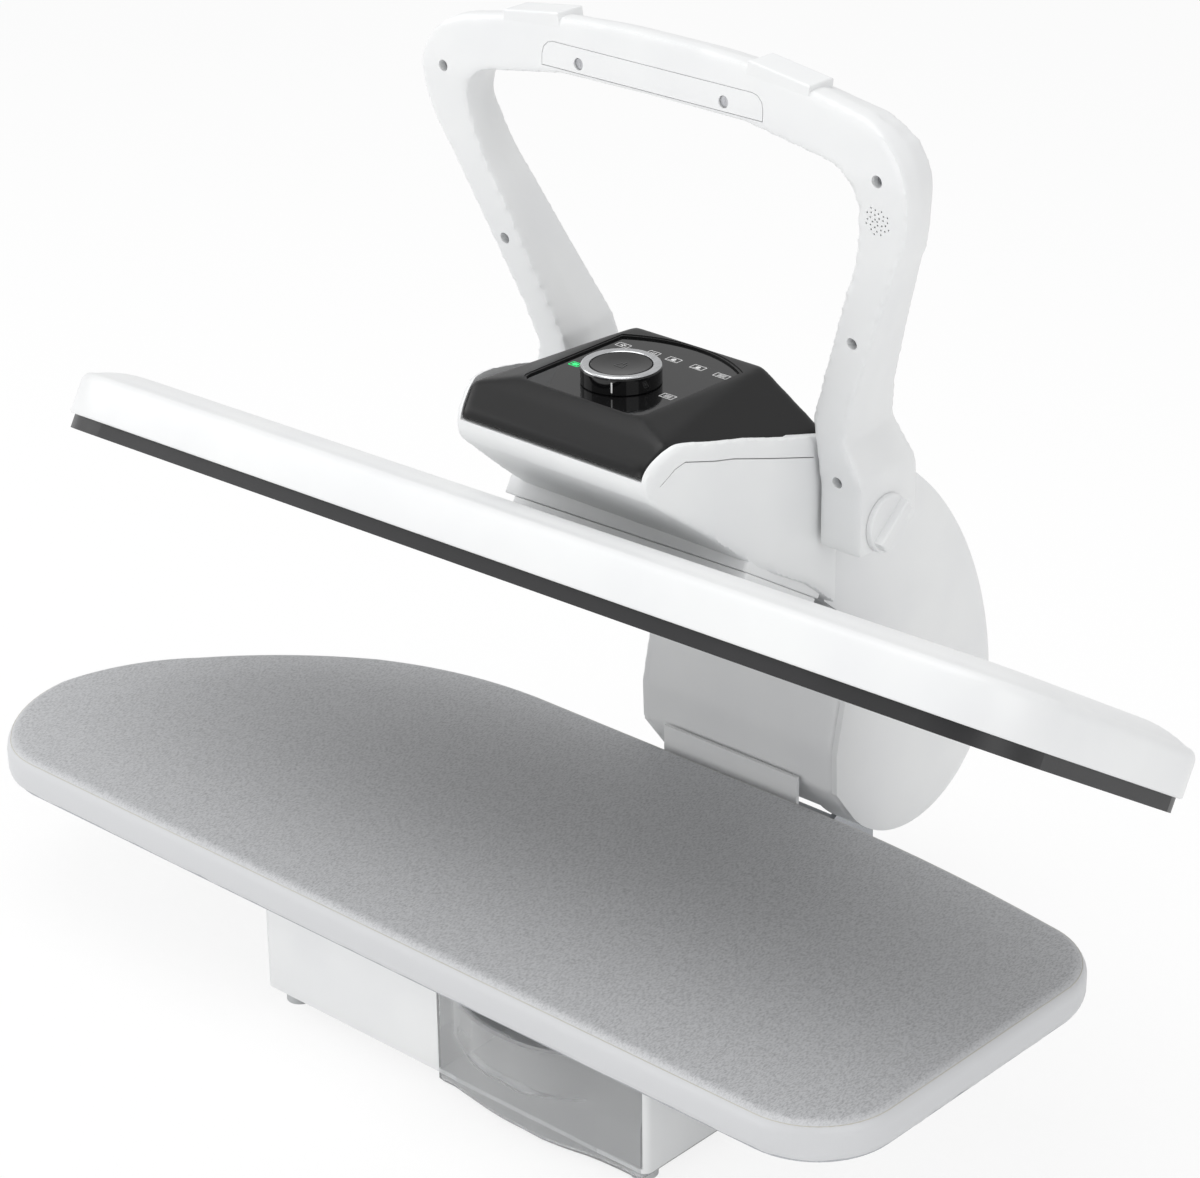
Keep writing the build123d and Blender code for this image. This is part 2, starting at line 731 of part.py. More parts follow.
screw_spots = [(54.7, 582.8), (-54.7, 582.8), (164, 560.5), (-164, 560.5), (134.4, 453.7), (-134.4, 453.7),
               (112, 356.6), (-112, 356.6)]


def make_handle_front():
    body = handle_prism() & side_prism(front_line(0) + back_line(-handle_back_depth), -220, 220)
    room = handle_prism(handle_wall) & side_prism(front_line(handle_wall) + back_line(0), -220, 220)
    body = body - room
    column = side_prism(front_line(1) + back_line(-handle_back_depth), -220, 220) & handle_prism()
    for x, z in screw_spots:
        post = rod_y(150, 340, x, z, screw_hole_radius + 2) & column
        body = body + post
    for x, z in screw_spots:
        recess = rod_y(150, face_y(z) + 9, x, z, screw_hole_radius)
        pilot = rod_y(150, 340, x, z, 1.6)
        body = body - recess - pilot
    for side in (-1, 1):
        x0, x1 = sorted((side * (foot_inner_x + 1), side * (foot_face_x - 1)))
        radius = lock_radius + running_gap if side > 0 else lock_radius
        body = body + rod_x(x0, x1, knob_y, knob_z, lock_radius + 3)
        body = body - rod_x(side * 113 - 30, side * 113 + 30, knob_y, knob_z, radius)
        body = body - on_button(side, Box(button_length + 0.6, button_depth + 0.6, 16))
    body = body - grip_recess(0.0)
    for ring, count in ((0, 1), (3.4, 6), (6.8, 12)):
        for i in range(count):
            angle = 2 * math.pi * i / count
            x = speaker_x + ring * math.cos(angle)
            z = speaker_z + ring * math.sin(angle)
            body = body - rod_y(150, face_y(z) + handle_wall + 1, x, z, 0.5)
    return one_solid(body)


def make_handle_back():
    shape = back_line(-handle_back_depth)
    rear = list(reversed(back_line(0)))
    body = handle_prism() & side_prism(shape + rear, -220, 220)
    for x, z in screw_spots:
        body = body - rod_y(150, face_y(z) + 90, x, z, 1.6)
    return one_solid(body)


def button_place(side):
    spot = Vector(side * button_x, button_y, button_z)
    return Plane(origin=spot, x_dir=(1, 0, -side * 0.14), z_dir=(side * 0.14, 0, 1)).location


def on_button(side, solid):
    return button_place(side) * solid


def grip_recess(clearance):
    wide = 83 - clearance
    low = 560
    high = 592 - clearance
    points = [(-wide, low), (wide, low), (wide, high), (-wide, high)]
    plate = front_prism(points, 150, 300)
    corners = plate.edges().filter_by(Axis.Y).group_by(Axis.Z)[-1]
    plate = soften(plate, corners, 12, 8)
    skin = side_prism(front_line(-5) + list(reversed(front_line(2))), -220, 220)
    return plate & skin


def make_grip_plate():
    plate = grip_recess(0.15) & handle_prism() & side_prism(front_line(0) + back_line(0), -220, 220)
    for x, z in screw_spots[:2]:
        plate = plate - rod_y(150, 300, x, z, screw_hole_radius)
    return one_solid(plate)


def make_handle_screws():
    screws = Part()
    for x, z in screw_spots:
        head = rod_y(face_y(z) + 6, face_y(z) + 9, x, z, screw_hole_radius - 0.4)
        tip = min(face_y(z) + 30, 330)
        stem = rod_y(face_y(z) + 6, tip, x, z, 1.6)
        screws = screws + head + stem
    return screws


def make_steam_button(side):
    cap = Pos(0, 0, button_rise / 2 - 2.5) * Box(button_length, button_depth, button_rise + 5)
    edges = cap.edges().group_by(Axis.Z)[-1]
    cap = soften(cap, edges, 1.2, 0.8)
    return on_button(side, cap)


def make_button_switches():
    switches = Part()
    for side in (-1, 1):
        body = Pos(0, 0, -11.5) * Box(14, 10, 6)
        post = Pos(0, 0, -22) * Box(8, 8, 15)
        switches = switches + on_button(side, body + post)
    return switches & handle_prism(handle_wall)


def make_speaker():
    spot = (speaker_x, face_y(speaker_z) + handle_wall, speaker_z)
    place = Plane(origin=spot, z_dir=(0, 1, handle_lean)).location
    return place * (Pos(0, 0, 2.5) * Cylinder(10, 5))


def make_lock_knob():
    shaft = rod_x(84, foot_face_x + contact_gap, knob_y, knob_z, lock_radius)
    disc = rod_x(foot_face_x + contact_gap, foot_face_x + 4, knob_y, knob_z, knob_radius)
    disc = soften(disc, disc.edges().group_by(Axis.X)[-1], 1.5, 1)
    ridge = Pos(foot_face_x + 6.5, knob_y, knob_z) * (Rot(-50, 0, 0) * Box(6, 8, 2 * knob_radius - 4))
    ridge = soften(ridge, ridge.edges().group_by(Axis.X)[-1], 1.5, 1)
    return shaft + disc + ridge


def make_handle_bolt():
    shaft = rod_x(-foot_face_x, -84, knob_y, knob_z, lock_radius)
    head = rod_x(-foot_face_x - 3, -foot_face_x, knob_y, knob_z, lock_radius + 4)
    socket = rod_x(-foot_face_x - 4, -foot_face_x - 1, knob_y, knob_z, 3)
    return shaft + head - socket


# Pressing shoe
def shoe_slab(inset, n0, n1):
    left = shoe_offset - shoe_length / 2
    return Pos(left, 0, 0) * outline_slab(shoe_length, shoe_depth, inset, n0, n1)


# The cover stands straight up round its edge, then swells gently towards its middle.
def crowned_slab(inset, low):
    wall_top = shoe_wall_height - inset
    slab = shoe_slab(inset, low, wall_top)
    slab = soften(slab, slab.faces().sort_by(Axis.Z)[-1].edges(), shoe_edge_radius, 4)
    face = offset(press_outline(shoe_length, shoe_depth), amount=-(inset + shoe_edge_radius), kind=Kind.ARC)
    slope = math.degrees(math.atan(shoe_crown_run / shoe_crown))
    crown = extrude(face, amount=shoe_crown, taper=slope)
    return slab + Pos(shoe_offset - shoe_length / 2, 0, wall_top) * crown


def make_shoe_cover():
    cover = crowned_slab(0, 0)
    room = crowned_slab(shoe_cover_wall, -1)
    slot = block(-16, 16, 142, 188, 15, 50)
    return on_shoe(one_solid(cover - room - slot))


def make_mount_plate():
    low = shoe_wall_height + shoe_crown
    plate = block(-92, 92, 125, 200, low, low + mount_plate_thickness)
    plate = soften(plate, plate.edges().filter_by(Axis.Z), 6)
    return on_shoe(plate - block(-16, 16, 142, 188, 15, 50))


def make_shoe_bracket():
    base = block(-60, 60, 140, 190, chamber_height + 4, chamber_height + 8)
    feet = block(-60, -50, 140, 190, chamber_height, chamber_height + 4)
    feet = feet + block(50, 60, 140, 190, chamber_height, chamber_height + 4)
    ear = block(-14, 14, 144, 186, chamber_height + 8, pivot_height + 8)
    bore = rod_y(130, 200, 0, pivot_height, pivot_radius + running_gap)
    return on_shoe(base + feet + ear - bore)


def make_heat_plate():
    plate = shoe_slab(3.5, -plate_thickness, 0)
    room = shoe_slab(3.5 + plate_wall, -plate_thickness + plate_wall, 1)
    lip = shoe_slab(shoe_cover_wall + 0.2, 0, 3) - shoe_slab(shoe_cover_wall + 3.4, -1, 4)
    link = shoe_slab(3.5, -1, 0) - shoe_slab(3.5 + plate_wall, -2, 1)
    plate = plate - room + link + lip
    for i in range(-6, 7):
        for v in (60, 123, 186):
            plate = plate - rod_z(-plate_thickness - 1, -plate_thickness + plate_wall + 1, 45 * i, v, 1.6)
    return on_shoe(one_solid(plate))


def make_steam_chamber():
    low = plate_wall - plate_thickness
    shell = block(-285, 285, 50, 198, low, chamber_height)
    room = block(-282, 282, 53, 195, low - 1, chamber_height - 3)
    return on_shoe(shell - room)


def make_heater_element():
    low = plate_wall - plate_thickness
    rods = rod_x(-250, 330, 40, low + heater_radius, heater_radius)
    rods = rods + rod_x(-250, 330, 206, low + heater_radius, heater_radius)
    rods = rods + block(330 - heater_radius, 330 + heater_radius, 40 - heater_radius, 206 + heater_radius,
                        low, low + 2 * heater_radius)
    return on_shoe(rods)


def make_insulation():
    blanket = block(-280, 280, 54, 194, chamber_height, chamber_height + 4)
    return on_shoe(blanket - block(-66, 66, 134, 198, 0, 40))


pieces = {
    "base_tray": make_base_tray,
    "base_cover": make_base_cover,
    "rubber_feet": make_feet,
    "board_pan": make_board_pan,
    "board_pad": make_board_pad,
    "board_cover": make_board_cover,
    "pedestal_frame": make_pedestal_frame,
    "pedestal_shroud": make_pedestal_shroud,
    "hinge_shaft": make_hinge_shaft,
    "shaft_clips": make_shaft_clips,
    "spring_bobbins": make_spring_bobbins,
    "lift_springs": make_springs,
    "water_pump": make_water_pump,
    "water_hose": make_water_hose,
    "tank_socket": make_tank_socket,
    "inlet_gland": make_inlet_gland,
    "base_screws": make_base_screws,
    "water_tank": make_tank,
    "tank_lid": make_tank_lid,
    "fill_cap": make_fill_cap,
    "tank_valve": make_tank_valve,
    "arm_shell": make_arm_shell,
    "side_cover_left": lambda: make_side_cover(-1),
    "side_cover_right": lambda: make_side_cover(1),
    "pod_band": make_pod_band,
    "cowl": make_cowl,
    "control_panel": make_control_panel,
    "control_board": make_control_board,
    "dial_encoder": make_dial_encoder,
    "neck_skirt": make_neck_skirt,
    "arm_frame": make_arm_frame,
    "pivot_pin": make_pivot_pin,
    "handle_front": make_handle_front,
    "handle_back": make_handle_back,
    "grip_plate": make_grip_plate,
    "handle_screws": make_handle_screws,
    "button_switches": make_button_switches,
    "speaker": make_speaker,
    "handle_bolt": make_handle_bolt,
    "lock_knob": make_lock_knob,
    "steam_button_left": lambda: make_steam_button(-1),
    "steam_button_right": lambda: make_steam_button(1),
    "dial_body": make_dial_body,
    "dial_ring": make_dial_ring,
    "power_cap": make_power_cap,
    "shoe_cover": make_shoe_cover,
    "mount_plate": make_mount_plate,
    "shoe_bracket": make_shoe_bracket,
    "heat_plate": make_heat_plate,
    "steam_chamber": make_steam_chamber,
    "heater_element": make_heater_element,
    "insulation": make_insulation,
}

solids = {name: make() for name, make in pieces.items()}
boxes = [solid.bounding_box() for solid in solids.values()]
middle_x = (min(box.min.X for box in boxes) + max(box.max.X for box in boxes)) / 2
middle_y = (min(box.min.Y for box in boxes) + max(box.max.Y for box in boxes)) / 2

os.makedirs("parts", exist_ok=True)
for name, solid in solids.items():
    export_step(Pos(-middle_x, -middle_y, 0) * solid, f"parts/{name}.step")
print("moved by", -middle_x, -middle_y)
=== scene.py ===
import bpy
import bmesh
import json
import math
from mathutils import Matrix, Vector, noise


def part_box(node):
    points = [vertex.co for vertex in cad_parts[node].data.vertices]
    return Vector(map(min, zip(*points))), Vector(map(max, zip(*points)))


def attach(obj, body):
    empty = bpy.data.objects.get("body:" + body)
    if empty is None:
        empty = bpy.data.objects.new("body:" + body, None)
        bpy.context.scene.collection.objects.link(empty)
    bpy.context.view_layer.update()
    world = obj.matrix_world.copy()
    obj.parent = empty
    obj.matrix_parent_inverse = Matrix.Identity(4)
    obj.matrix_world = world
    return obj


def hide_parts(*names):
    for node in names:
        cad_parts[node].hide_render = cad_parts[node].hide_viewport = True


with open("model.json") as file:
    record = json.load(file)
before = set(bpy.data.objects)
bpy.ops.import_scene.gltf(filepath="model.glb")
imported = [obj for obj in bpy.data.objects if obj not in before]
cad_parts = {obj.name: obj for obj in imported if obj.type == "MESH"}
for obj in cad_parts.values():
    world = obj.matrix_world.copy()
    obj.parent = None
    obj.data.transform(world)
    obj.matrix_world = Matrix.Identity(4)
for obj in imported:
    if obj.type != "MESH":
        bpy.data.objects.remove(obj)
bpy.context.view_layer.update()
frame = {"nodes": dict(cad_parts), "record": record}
print("frame loaded")

mm = 0.001
arcStep = 6           # mm of arc to each edge
arcMiddle = 0.293     # how far in the middle of a quarter arc lies, as a share of its radius
goldenTurn = 2.4      # radians between two seeds of a sunflower
dialLow, dialHigh = (Vector(c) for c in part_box("dial_body"))
boardLow = Vector(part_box("board_cover")[0])
armMiddle = (dialLow.x + dialHigh.x) / 2      # x of the hinge arm's middle plane
boardFront = boardLow.y                       # y of the board's front edge
underBoard = boardLow.z                       # z of the board's underside

# Shapes below are drawn in millimetres: x from the arm's middle, y from the board's front edge,
# z from the board's underside. Each drawing plane turns (u, v, w) into the frame's metres.
corner = Vector((armMiddle, boardFront, underBoard))


def drawingPlane(u, v, w):
    turn = Matrix((u, v, w)).transposed().to_4x4()
    return Matrix.Translation(corner) @ turn @ Matrix.Scale(mm, 4)


planView = drawingPlane((1, 0, 0), (0, 1, 0), (0, 0, 1))
sideView = drawingPlane((0, 1, 0), (0, 0, 1), (1, 0, 0))
frontView = drawingPlane((1, 0, 0), (0, 0, 1), (0, -1, 0))


# Materials

def linear(hexColour):
    parts = [int(hexColour[i:i + 2], 16) / 255 for i in (1, 3, 5)]
    parts = [c / 12.92 if c <= 0.04045 else ((c + 0.055) / 1.055) ** 2.4 for c in parts]
    return (*parts, 1.0)


def addNode(tree, kind, settings=None, links=None):
    node = tree.nodes.new(kind)
    for key, value in (settings or {}).items():
        if isinstance(key, int) or key in node.inputs:
            node.inputs[key].default_value = value
        else:
            setattr(node, key, value)
    for key, source in (links or {}).items():
        tree.links.new(source, node.inputs[key])
    return node


def newMaterial(name, shader):
    material = bpy.data.materials.new(name)
    material.use_nodes = True
    tree = material.node_tree
    surface = tree.nodes["Principled BSDF"]
    for key, value in shader.items():
        surface.inputs[key].default_value = value
    return material, tree, surface


def grain(tree, size, detail=2.0):
    place = addNode(tree, "ShaderNodeTexCoord")
    return addNode(tree, "ShaderNodeTexNoise", {"Scale": 1 / (size * mm), "Detail": detail},
                   {"Vector": place.outputs["Object"]})


def ramp(tree, source, low, high, positions=(0.3, 0.7)):
    node = addNode(tree, "ShaderNodeValToRGB", {}, {"Fac": source})
    node.color_ramp.elements[0].position = positions[0]
    node.color_ramp.elements[1].position = positions[1]
    node.color_ramp.elements[0].color = low
    node.color_ramp.elements[1].color = high
    return node


def span(tree, source, low, high):
    return addNode(tree, "ShaderNodeMapRange", {"To Min": low, "To Max": high}, {"Value": source})


def bump(tree, surface, height, distance, strength=1.0):
    node = addNode(tree, "ShaderNodeBump", {"Distance": distance * mm, "Strength": strength},
                   {"Height": height})
    tree.links.new(node.outputs["Normal"], surface.inputs["Normal"])


def mouldedPlastic(name, colour, shade, roughness, grit=0.9, depth=0.01, ior=1.53):
    # Plastic from a spark-eroded tool, and other matt stuffs: an even colour with a fine grit
    material, tree, surface = newMaterial(name, {"IOR": ior})
    broad = grain(tree, 60.0)
    fine = grain(tree, grit, 3.0)
    tint = ramp(tree, broad.outputs["Fac"], linear(shade), linear(colour))
    rough = span(tree, fine.outputs["Fac"], roughness - 0.05, roughness + 0.05)
    tree.links.new(tint.outputs["Color"], surface.inputs["Base Color"])
    tree.links.new(rough.outputs["Result"], surface.inputs["Roughness"])
    bump(tree, surface, fine.outputs["Fac"], depth)
    return material


def coatedCotton():
    # Cotton cloth with an aluminised coating: silver grey with a fine dark fleck and a soft sheen
    material, tree, surface = newMaterial("aluminised_cotton", {"Metallic": 0.12, "Sheen Weight": 0.1})
    place = addNode(tree, "ShaderNodeTexCoord")
    yarn = 1.1
    weaves = []
    for direction in ("X", "Y"):
        wave = addNode(tree, "ShaderNodeTexWave",
                       {"bands_direction": direction, "Scale": 1 / (yarn * mm) * 0.314, "Distortion": 3.0,
                        "Detail": 2.0, "Detail Scale": 2.0},
                       {"Vector": place.outputs["Object"]})
        weaves.append(wave)
    weave = addNode(tree, "ShaderNodeMath", {"operation": "MULTIPLY"},
                    {0: weaves[0].outputs["Fac"], 1: weaves[1].outputs["Fac"]})
    stretch = addNode(tree, "ShaderNodeMapping", {"Scale": (1.0, 0.35, 1.0)},
                      {"Vector": place.outputs["Object"]})
    fleck = addNode(tree, "ShaderNodeTexNoise", {"Scale": 1 / (0.8 * mm), "Detail": 4.0, "Roughness": 0.65},
                    {"Vector": stretch.outputs["Vector"]})
    tint = ramp(tree, fleck.outputs["Fac"], linear("#9fa0a3"), linear("#c9cacc"), (0.32, 0.56))
    # The cloth's colour is painted lighter where its face tips away from straight up, as a painted highlight
    # on the edge and skirt
    normal = addNode(tree, "ShaderNodeNewGeometry")
    facing = addNode(tree, "ShaderNodeSeparateXYZ", {}, {"Vector": normal.outputs["Normal"]})
    level = addNode(tree, "ShaderNodeMapRange", {"From Min": 0.6, "From Max": 0.98},
                    {"Value": facing.outputs["Z"]})
    paintedEdgeHighlight = addNode(tree, "ShaderNodeMix", {"data_type": "RGBA"})      # painted highlight: where the cloth turns from level, on the rounded edge and the skirt, it takes a plain lighter grey without the fleck
    tree.links.new(level.outputs["Result"], paintedEdgeHighlight.inputs["Factor"])
    paintedEdgeHighlight.inputs[6].default_value = linear("#cfd0d2")
    tree.links.new(tint.outputs["Color"], paintedEdgeHighlight.inputs[7])
    tree.links.new(paintedEdgeHighlight.outputs[2], surface.inputs["Base Color"])
    rough = span(tree, fleck.outputs["Fac"], 0.42, 0.62)
    tree.links.new(rough.outputs["Result"], surface.inputs["Roughness"])
    both = addNode(tree, "ShaderNodeMath", {"operation": "ADD"},
                   {0: weave.outputs["Value"], 1: fleck.outputs["Fac"]})
    bump(tree, surface, both.outputs["Value"], 0.05, 0.4)
    return material


def clearStyrene():
    # Clear styrene acrylonitrile, injection moulded: glassy and slightly milky
    material, tree, surface = newMaterial("clear_styrene", {"IOR": 1.3, "Transmission Weight": 0.76,
                                                            "Base Color": linear("#f6f7f8")})
    flow = grain(tree, 35.0)
    rough = span(tree, flow.outputs["Fac"], 0.02, 0.08)
    tree.links.new(rough.outputs["Result"], surface.inputs["Roughness"])
    return material


def metalFinish(name, colour, shade, roughness, streak=1.0):
    # Metal with the fine marks of its making: rolled, turned or cast
    material, tree, surface = newMaterial(name, {"Metallic": 1.0})
    place = addNode(tree, "ShaderNodeTexCoord")
    drawn = addNode(tree, "ShaderNodeMapping", {"Scale": (1.0, streak, streak)},
                    {"Vector": place.outputs["Object"]})
    marks = addNode(tree, "ShaderNodeTexNoise", {"Scale": 1 / (1.2 * mm), "Detail": 3.0},
                    {"Vector": drawn.outputs["Vector"]})
    tint = ramp(tree, marks.outputs["Fac"], linear(shade), linear(colour))
    rough = span(tree, marks.outputs["Fac"], roughness - 0.06, roughness + 0.08)
    tree.links.new(tint.outputs["Color"], surface.inputs["Base Color"])
    tree.links.new(rough.outputs["Result"], surface.inputs["Roughness"])
    bump(tree, surface, marks.outputs["Fac"], 0.01)
    return material


def litSymbol(name, colour, glow):
    # Printed symbol ink, one even colour, with a faint painted glow where glow is set above nought; or a
    # symbol lit from behind
    ink = {"Roughness": 0.4, "Base Color": linear(colour), "Emission Color": linear(colour),
           "Emission Strength": glow}
    return newMaterial(name, ink)[0]


whiteAbs = mouldedPlastic("white_abs", "#eceded", "#e7e8e9", 0.34)
blackAbs = mouldedPlastic("black_abs_satin", "#0d0d0e", "#0a0a0b", 0.34, 0.7, 0.012, 1.42)
glossBlack = mouldedPlastic("black_acrylic_gloss", "#101011", "#0d0d0e", 0.06, 4.0, 0.0005, 1.49)
darkNylon = mouldedPlastic("dark_nylon", "#2a2a2c", "#242426", 0.5)
greyRubber = mouldedPlastic("grey_silicone_rubber", "#cfd1d2", "#c4c6c7", 0.6, 1.4, 0.02, 1.41)
boardGreen = mouldedPlastic("circuit_board_epoxy", "#1f5a3a", "#1a4f33", 0.4)
feltPad = mouldedPlastic("needled_felt", "#c9c6bc", "#bab6aa", 0.9, 1.6, 0.3)
glassBlanket = mouldedPlastic("glass_fibre_blanket", "#ded9c8", "#d2ccb8", 0.9, 2.2, 0.4)
sheetSteel = metalFinish("zinc_plated_steel_sheet", "#b9bbbf", "#a7a9ad", 0.38)
brightSteel = metalFinish("turned_steel", "#c6c7ca", "#b2b3b6", 0.28, 0.2)
castAluminium = metalFinish("cast_aluminium", "#b4b5b8", "#9c9da0", 0.5)
platedRing = metalFinish("satin_chrome_plate", "#d9dadc", "#c9cacc", 0.22, 0.1)
plateCoating = mouldedPlastic("non_stick_coating", "#202022", "#19191b", 0.4, 1.0, 0.02)
cloth = coatedCotton()
clear = clearStyrene()
greenLight = litSymbol("green_light", "#1fbf68", 1.2)
# white printed ink with a faint painted glow, so it reads brighter than the lamps alone make it
whiteInkPaintedGlow = litSymbol("white_ink_painted_glow", "#d6d6d6", 0.15)
greyInk = litSymbol("grey_ink", "#4a4a4c", 0.0)
print("materials made")


# Modelling helpers

def drawPath(shape, start, strokes):
    # A chain of lines (one point) and arcs (a point passed through, then the end point)
    tip = bmesh.ops.create_vert(shape, co=(*start, 0))["vert"][0]
    for stroke in strokes:
        if len(stroke) == 1:
            end = stroke[0]
            tip = bmesh.ops.extrude_vert_indiv(shape, verts=[tip])["verts"][0]
            tip.co = Vector((*end, 0))
            continue
        a, b, c = tip.co.copy(), Vector((*stroke[0], 0)), Vector((*stroke[1], 0))
        d = 2 * (a.x * (b.y - c.y) + b.x * (c.y - a.y) + c.x * (a.y - b.y))
        cx = (a.dot(a) * (b.y - c.y) + b.dot(b) * (c.y - a.y) + c.dot(c) * (a.y - b.y)) / d
        cy = (a.dot(a) * (c.x - b.x) + b.dot(b) * (a.x - c.x) + c.dot(c) * (b.x - a.x)) / d
        centre = Vector((cx, cy, 0))
        turn = (a - centre).to_2d().angle_signed((b - centre).to_2d())
        turn += (b - centre).to_2d().angle_signed((c - centre).to_2d())
        steps = max(3, int(abs(turn) * (a - centre).length / arcStep))
        arc = bmesh.ops.spin(shape, geom=[tip], cent=centre, axis=(0, 0, 1), angle=-turn, steps=steps)
        tip = [e for e in arc["geom_last"] if isinstance(e, bmesh.types.BMVert)][0]
    bmesh.ops.remove_doubles(shape, verts=shape.verts[:], dist=0.02)


def fillOutline(shape):
    bmesh.ops.contextual_create(shape, geom=shape.edges[:])
    return shape.faces[0]


def raiseFace(shape, face, height):
    grown = bmesh.ops.extrude_face_region(shape, geom=[face], use_keep_orig=True)
    tops = [g for g in grown["geom"] if isinstance(g, bmesh.types.BMVert)]
    bmesh.ops.translate(shape, verts=tops, vec=(0, 0, height))
    return [g for g in grown["geom"] if isinstance(g, bmesh.types.BMFace)][0]


def addBlock(shape, low, high):
    made = bmesh.ops.create_cube(shape, size=1.0)
    bmesh.ops.scale(shape, vec=Vector(high) - Vector(low), verts=made["verts"])
    bmesh.ops.translate(shape, vec=(Vector(high) + Vector(low)) / 2, verts=made["verts"])


def roundEdges(shape, edges, width, segments=4, profile=0.5):
    bmesh.ops.bevel(shape, geom=edges, offset=width, offset_type="OFFSET", segments=segments,
                    profile=profile, affect="EDGES", material=-1, clamp_overlap=True)


def cutAcross(shape, axis, places):
    normal = Vector([1.0 if axis == i else 0.0 for i in range(3)])
    for place in places:
        bmesh.ops.bisect_plane(shape, geom=shape.verts[:] + shape.edges[:] + shape.faces[:],
                               plane_co=normal * place, plane_no=normal, dist=0.001)


def finishPiece(shape, name, plane, material, body, sharp=32):
    bmesh.ops.transform(shape, matrix=plane, verts=shape.verts[:])
    bmesh.ops.recalc_face_normals(shape, faces=shape.faces[:])
    mesh = bpy.data.meshes.new(name)
    shape.to_mesh(mesh)
    shape.free()
    mesh.materials.append(material)
    mesh.shade_smooth()
    mesh.set_sharp_from_angle(angle=math.radians(sharp))
    piece = bpy.data.objects.new(name, mesh)
    bpy.context.scene.collection.objects.link(piece)
    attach(piece, body)
    return piece


def between(value, stops):
    for (a, p), (b, q) in zip(stops, stops[1:]):
        if value <= b:
            return p + (q - p) * max(0.0, (value - a) / (b - a))
    return stops[-1][1]


def carve(piece, cutter):
    cut = piece.modifiers.new("carve", "BOOLEAN")
    cut.object = cutter
    cut.operation = "DIFFERENCE"
    cut.solver = "EXACT"
    applyModifiers(piece, 32)
    bpy.data.objects.remove(cutter)


def soften(piece, voxel, rounds, sharp=30):
    # Remesh evenly and relax, which rounds every edge by about the same few millimetres
    even = piece.modifiers.new("even", "REMESH")
    even.mode = "VOXEL"
    even.voxel_size = voxel * mm
    relax = piece.modifiers.new("relax", "SMOOTH")
    relax.factor = 0.5
    relax.iterations = rounds
    applyModifiers(piece, sharp)


def applyModifiers(piece, sharp):
    bpy.context.view_layer.update()
    graph = bpy.context.evaluated_depsgraph_get()
    settled = bpy.data.meshes.new_from_object(piece.evaluated_get(graph))
    piece.modifiers.clear()
    old = piece.data
    piece.data = settled
    bpy.data.meshes.remove(old)
    settled.shade_smooth()
    settled.set_sharp_from_angle(angle=math.radians(sharp))


def looseShape(shape, plane):
    bmesh.ops.transform(shape, matrix=plane, verts=shape.verts[:])
    bmesh.ops.recalc_face_normals(shape, faces=shape.faces[:])
    mesh = bpy.data.meshes.new("cutter")
    shape.to_mesh(mesh)
    shape.free()
    cutter = bpy.data.objects.new("cutter", mesh)
    bpy.context.scene.collection.objects.link(cutter)
    return cutter


# Camera, lamps and floor

camera = {"lens": 108.07, "place": (1303.66, -1249.26, 1104.13), "azimuth": 42.575, "elevation": 25.279,
          "roll": -0.645}


def makeCamera():
    az, el = math.radians(camera["azimuth"]), math.radians(camera["elevation"])
    roll = math.radians(camera["roll"])
    back = Vector((math.sin(az) * math.cos(el), -math.cos(az) * math.cos(el), math.sin(el)))
    right = Vector((math.cos(az), math.sin(az), 0))
    up = back.cross(right)
    turnedRight = math.cos(roll) * right + math.sin(roll) * up
    turnedUp = -math.sin(roll) * right + math.cos(roll) * up
    data = bpy.data.cameras.new("photo_camera")
    data.sensor_fit = "HORIZONTAL"
    data.sensor_width = 36.0
    data.lens = camera["lens"]
    data.clip_end = 20.0
    viewer = bpy.data.objects.new("photo_camera", data)
    turn = Matrix((turnedRight, turnedUp, back)).transposed().to_4x4()
    viewer.matrix_world = Matrix.Translation(planView @ Vector(camera["place"])) @ turn
    bpy.context.scene.collection.objects.link(viewer)
    bpy.context.scene.camera = viewer


lamps = {
    "overhead": {"place": (-0.2, -0.3, 2.2), "aim": (0, 0, 0.25), "size": 1.8, "power": 17.0},
    "left": {"place": (-2.0, -0.9, 1.2), "aim": (0, 0, 0.25), "size": 1.4, "power": 9.0},
    "front": {"place": (-0.4, -2.4, 0.3), "aim": (0, 0, 0.38), "size": 1.3, "power": 9.0},
    "right": {"place": (1.9, -0.6, 1.0), "aim": (0, 0, 0.3), "size": 1.2, "power": 7.0},
}


def makeLamps():
    for name, lamp in lamps.items():
        data = bpy.data.lights.new(name, "AREA")
        data.shape = "SQUARE"
        data.size = lamp["size"]
        data.energy = lamp["power"]
        holder = bpy.data.objects.new(name, data)
        holder.location = lamp["place"]
        aim = Vector(lamp["aim"]) - Vector(lamp["place"])
        holder.rotation_euler = aim.to_track_quat("-Z", "Y").to_euler()
        bpy.context.scene.collection.objects.link(holder)


def makeWorld():
    world = bpy.data.worlds.new("studio")
    bpy.context.scene.world = world
    world.use_nodes = True
    tree = world.node_tree
    soft = tree.nodes["Background"]
    soft.inputs["Color"].default_value = (1, 1, 1, 1)
    soft.inputs["Strength"].default_value = 0.64
    plain = addNode(tree, "ShaderNodeBackground", {"Color": (1, 1, 1, 1), "Strength": 1.0})
    path = addNode(tree, "ShaderNodeLightPath")
    mix = addNode(tree, "ShaderNodeMixShader", {}, {0: path.outputs["Is Camera Ray"], 1: soft.outputs[0],
                                                   2: plain.outputs[0]})
    tree.links.new(mix.outputs[0], tree.nodes["World Output"].inputs["Surface"])


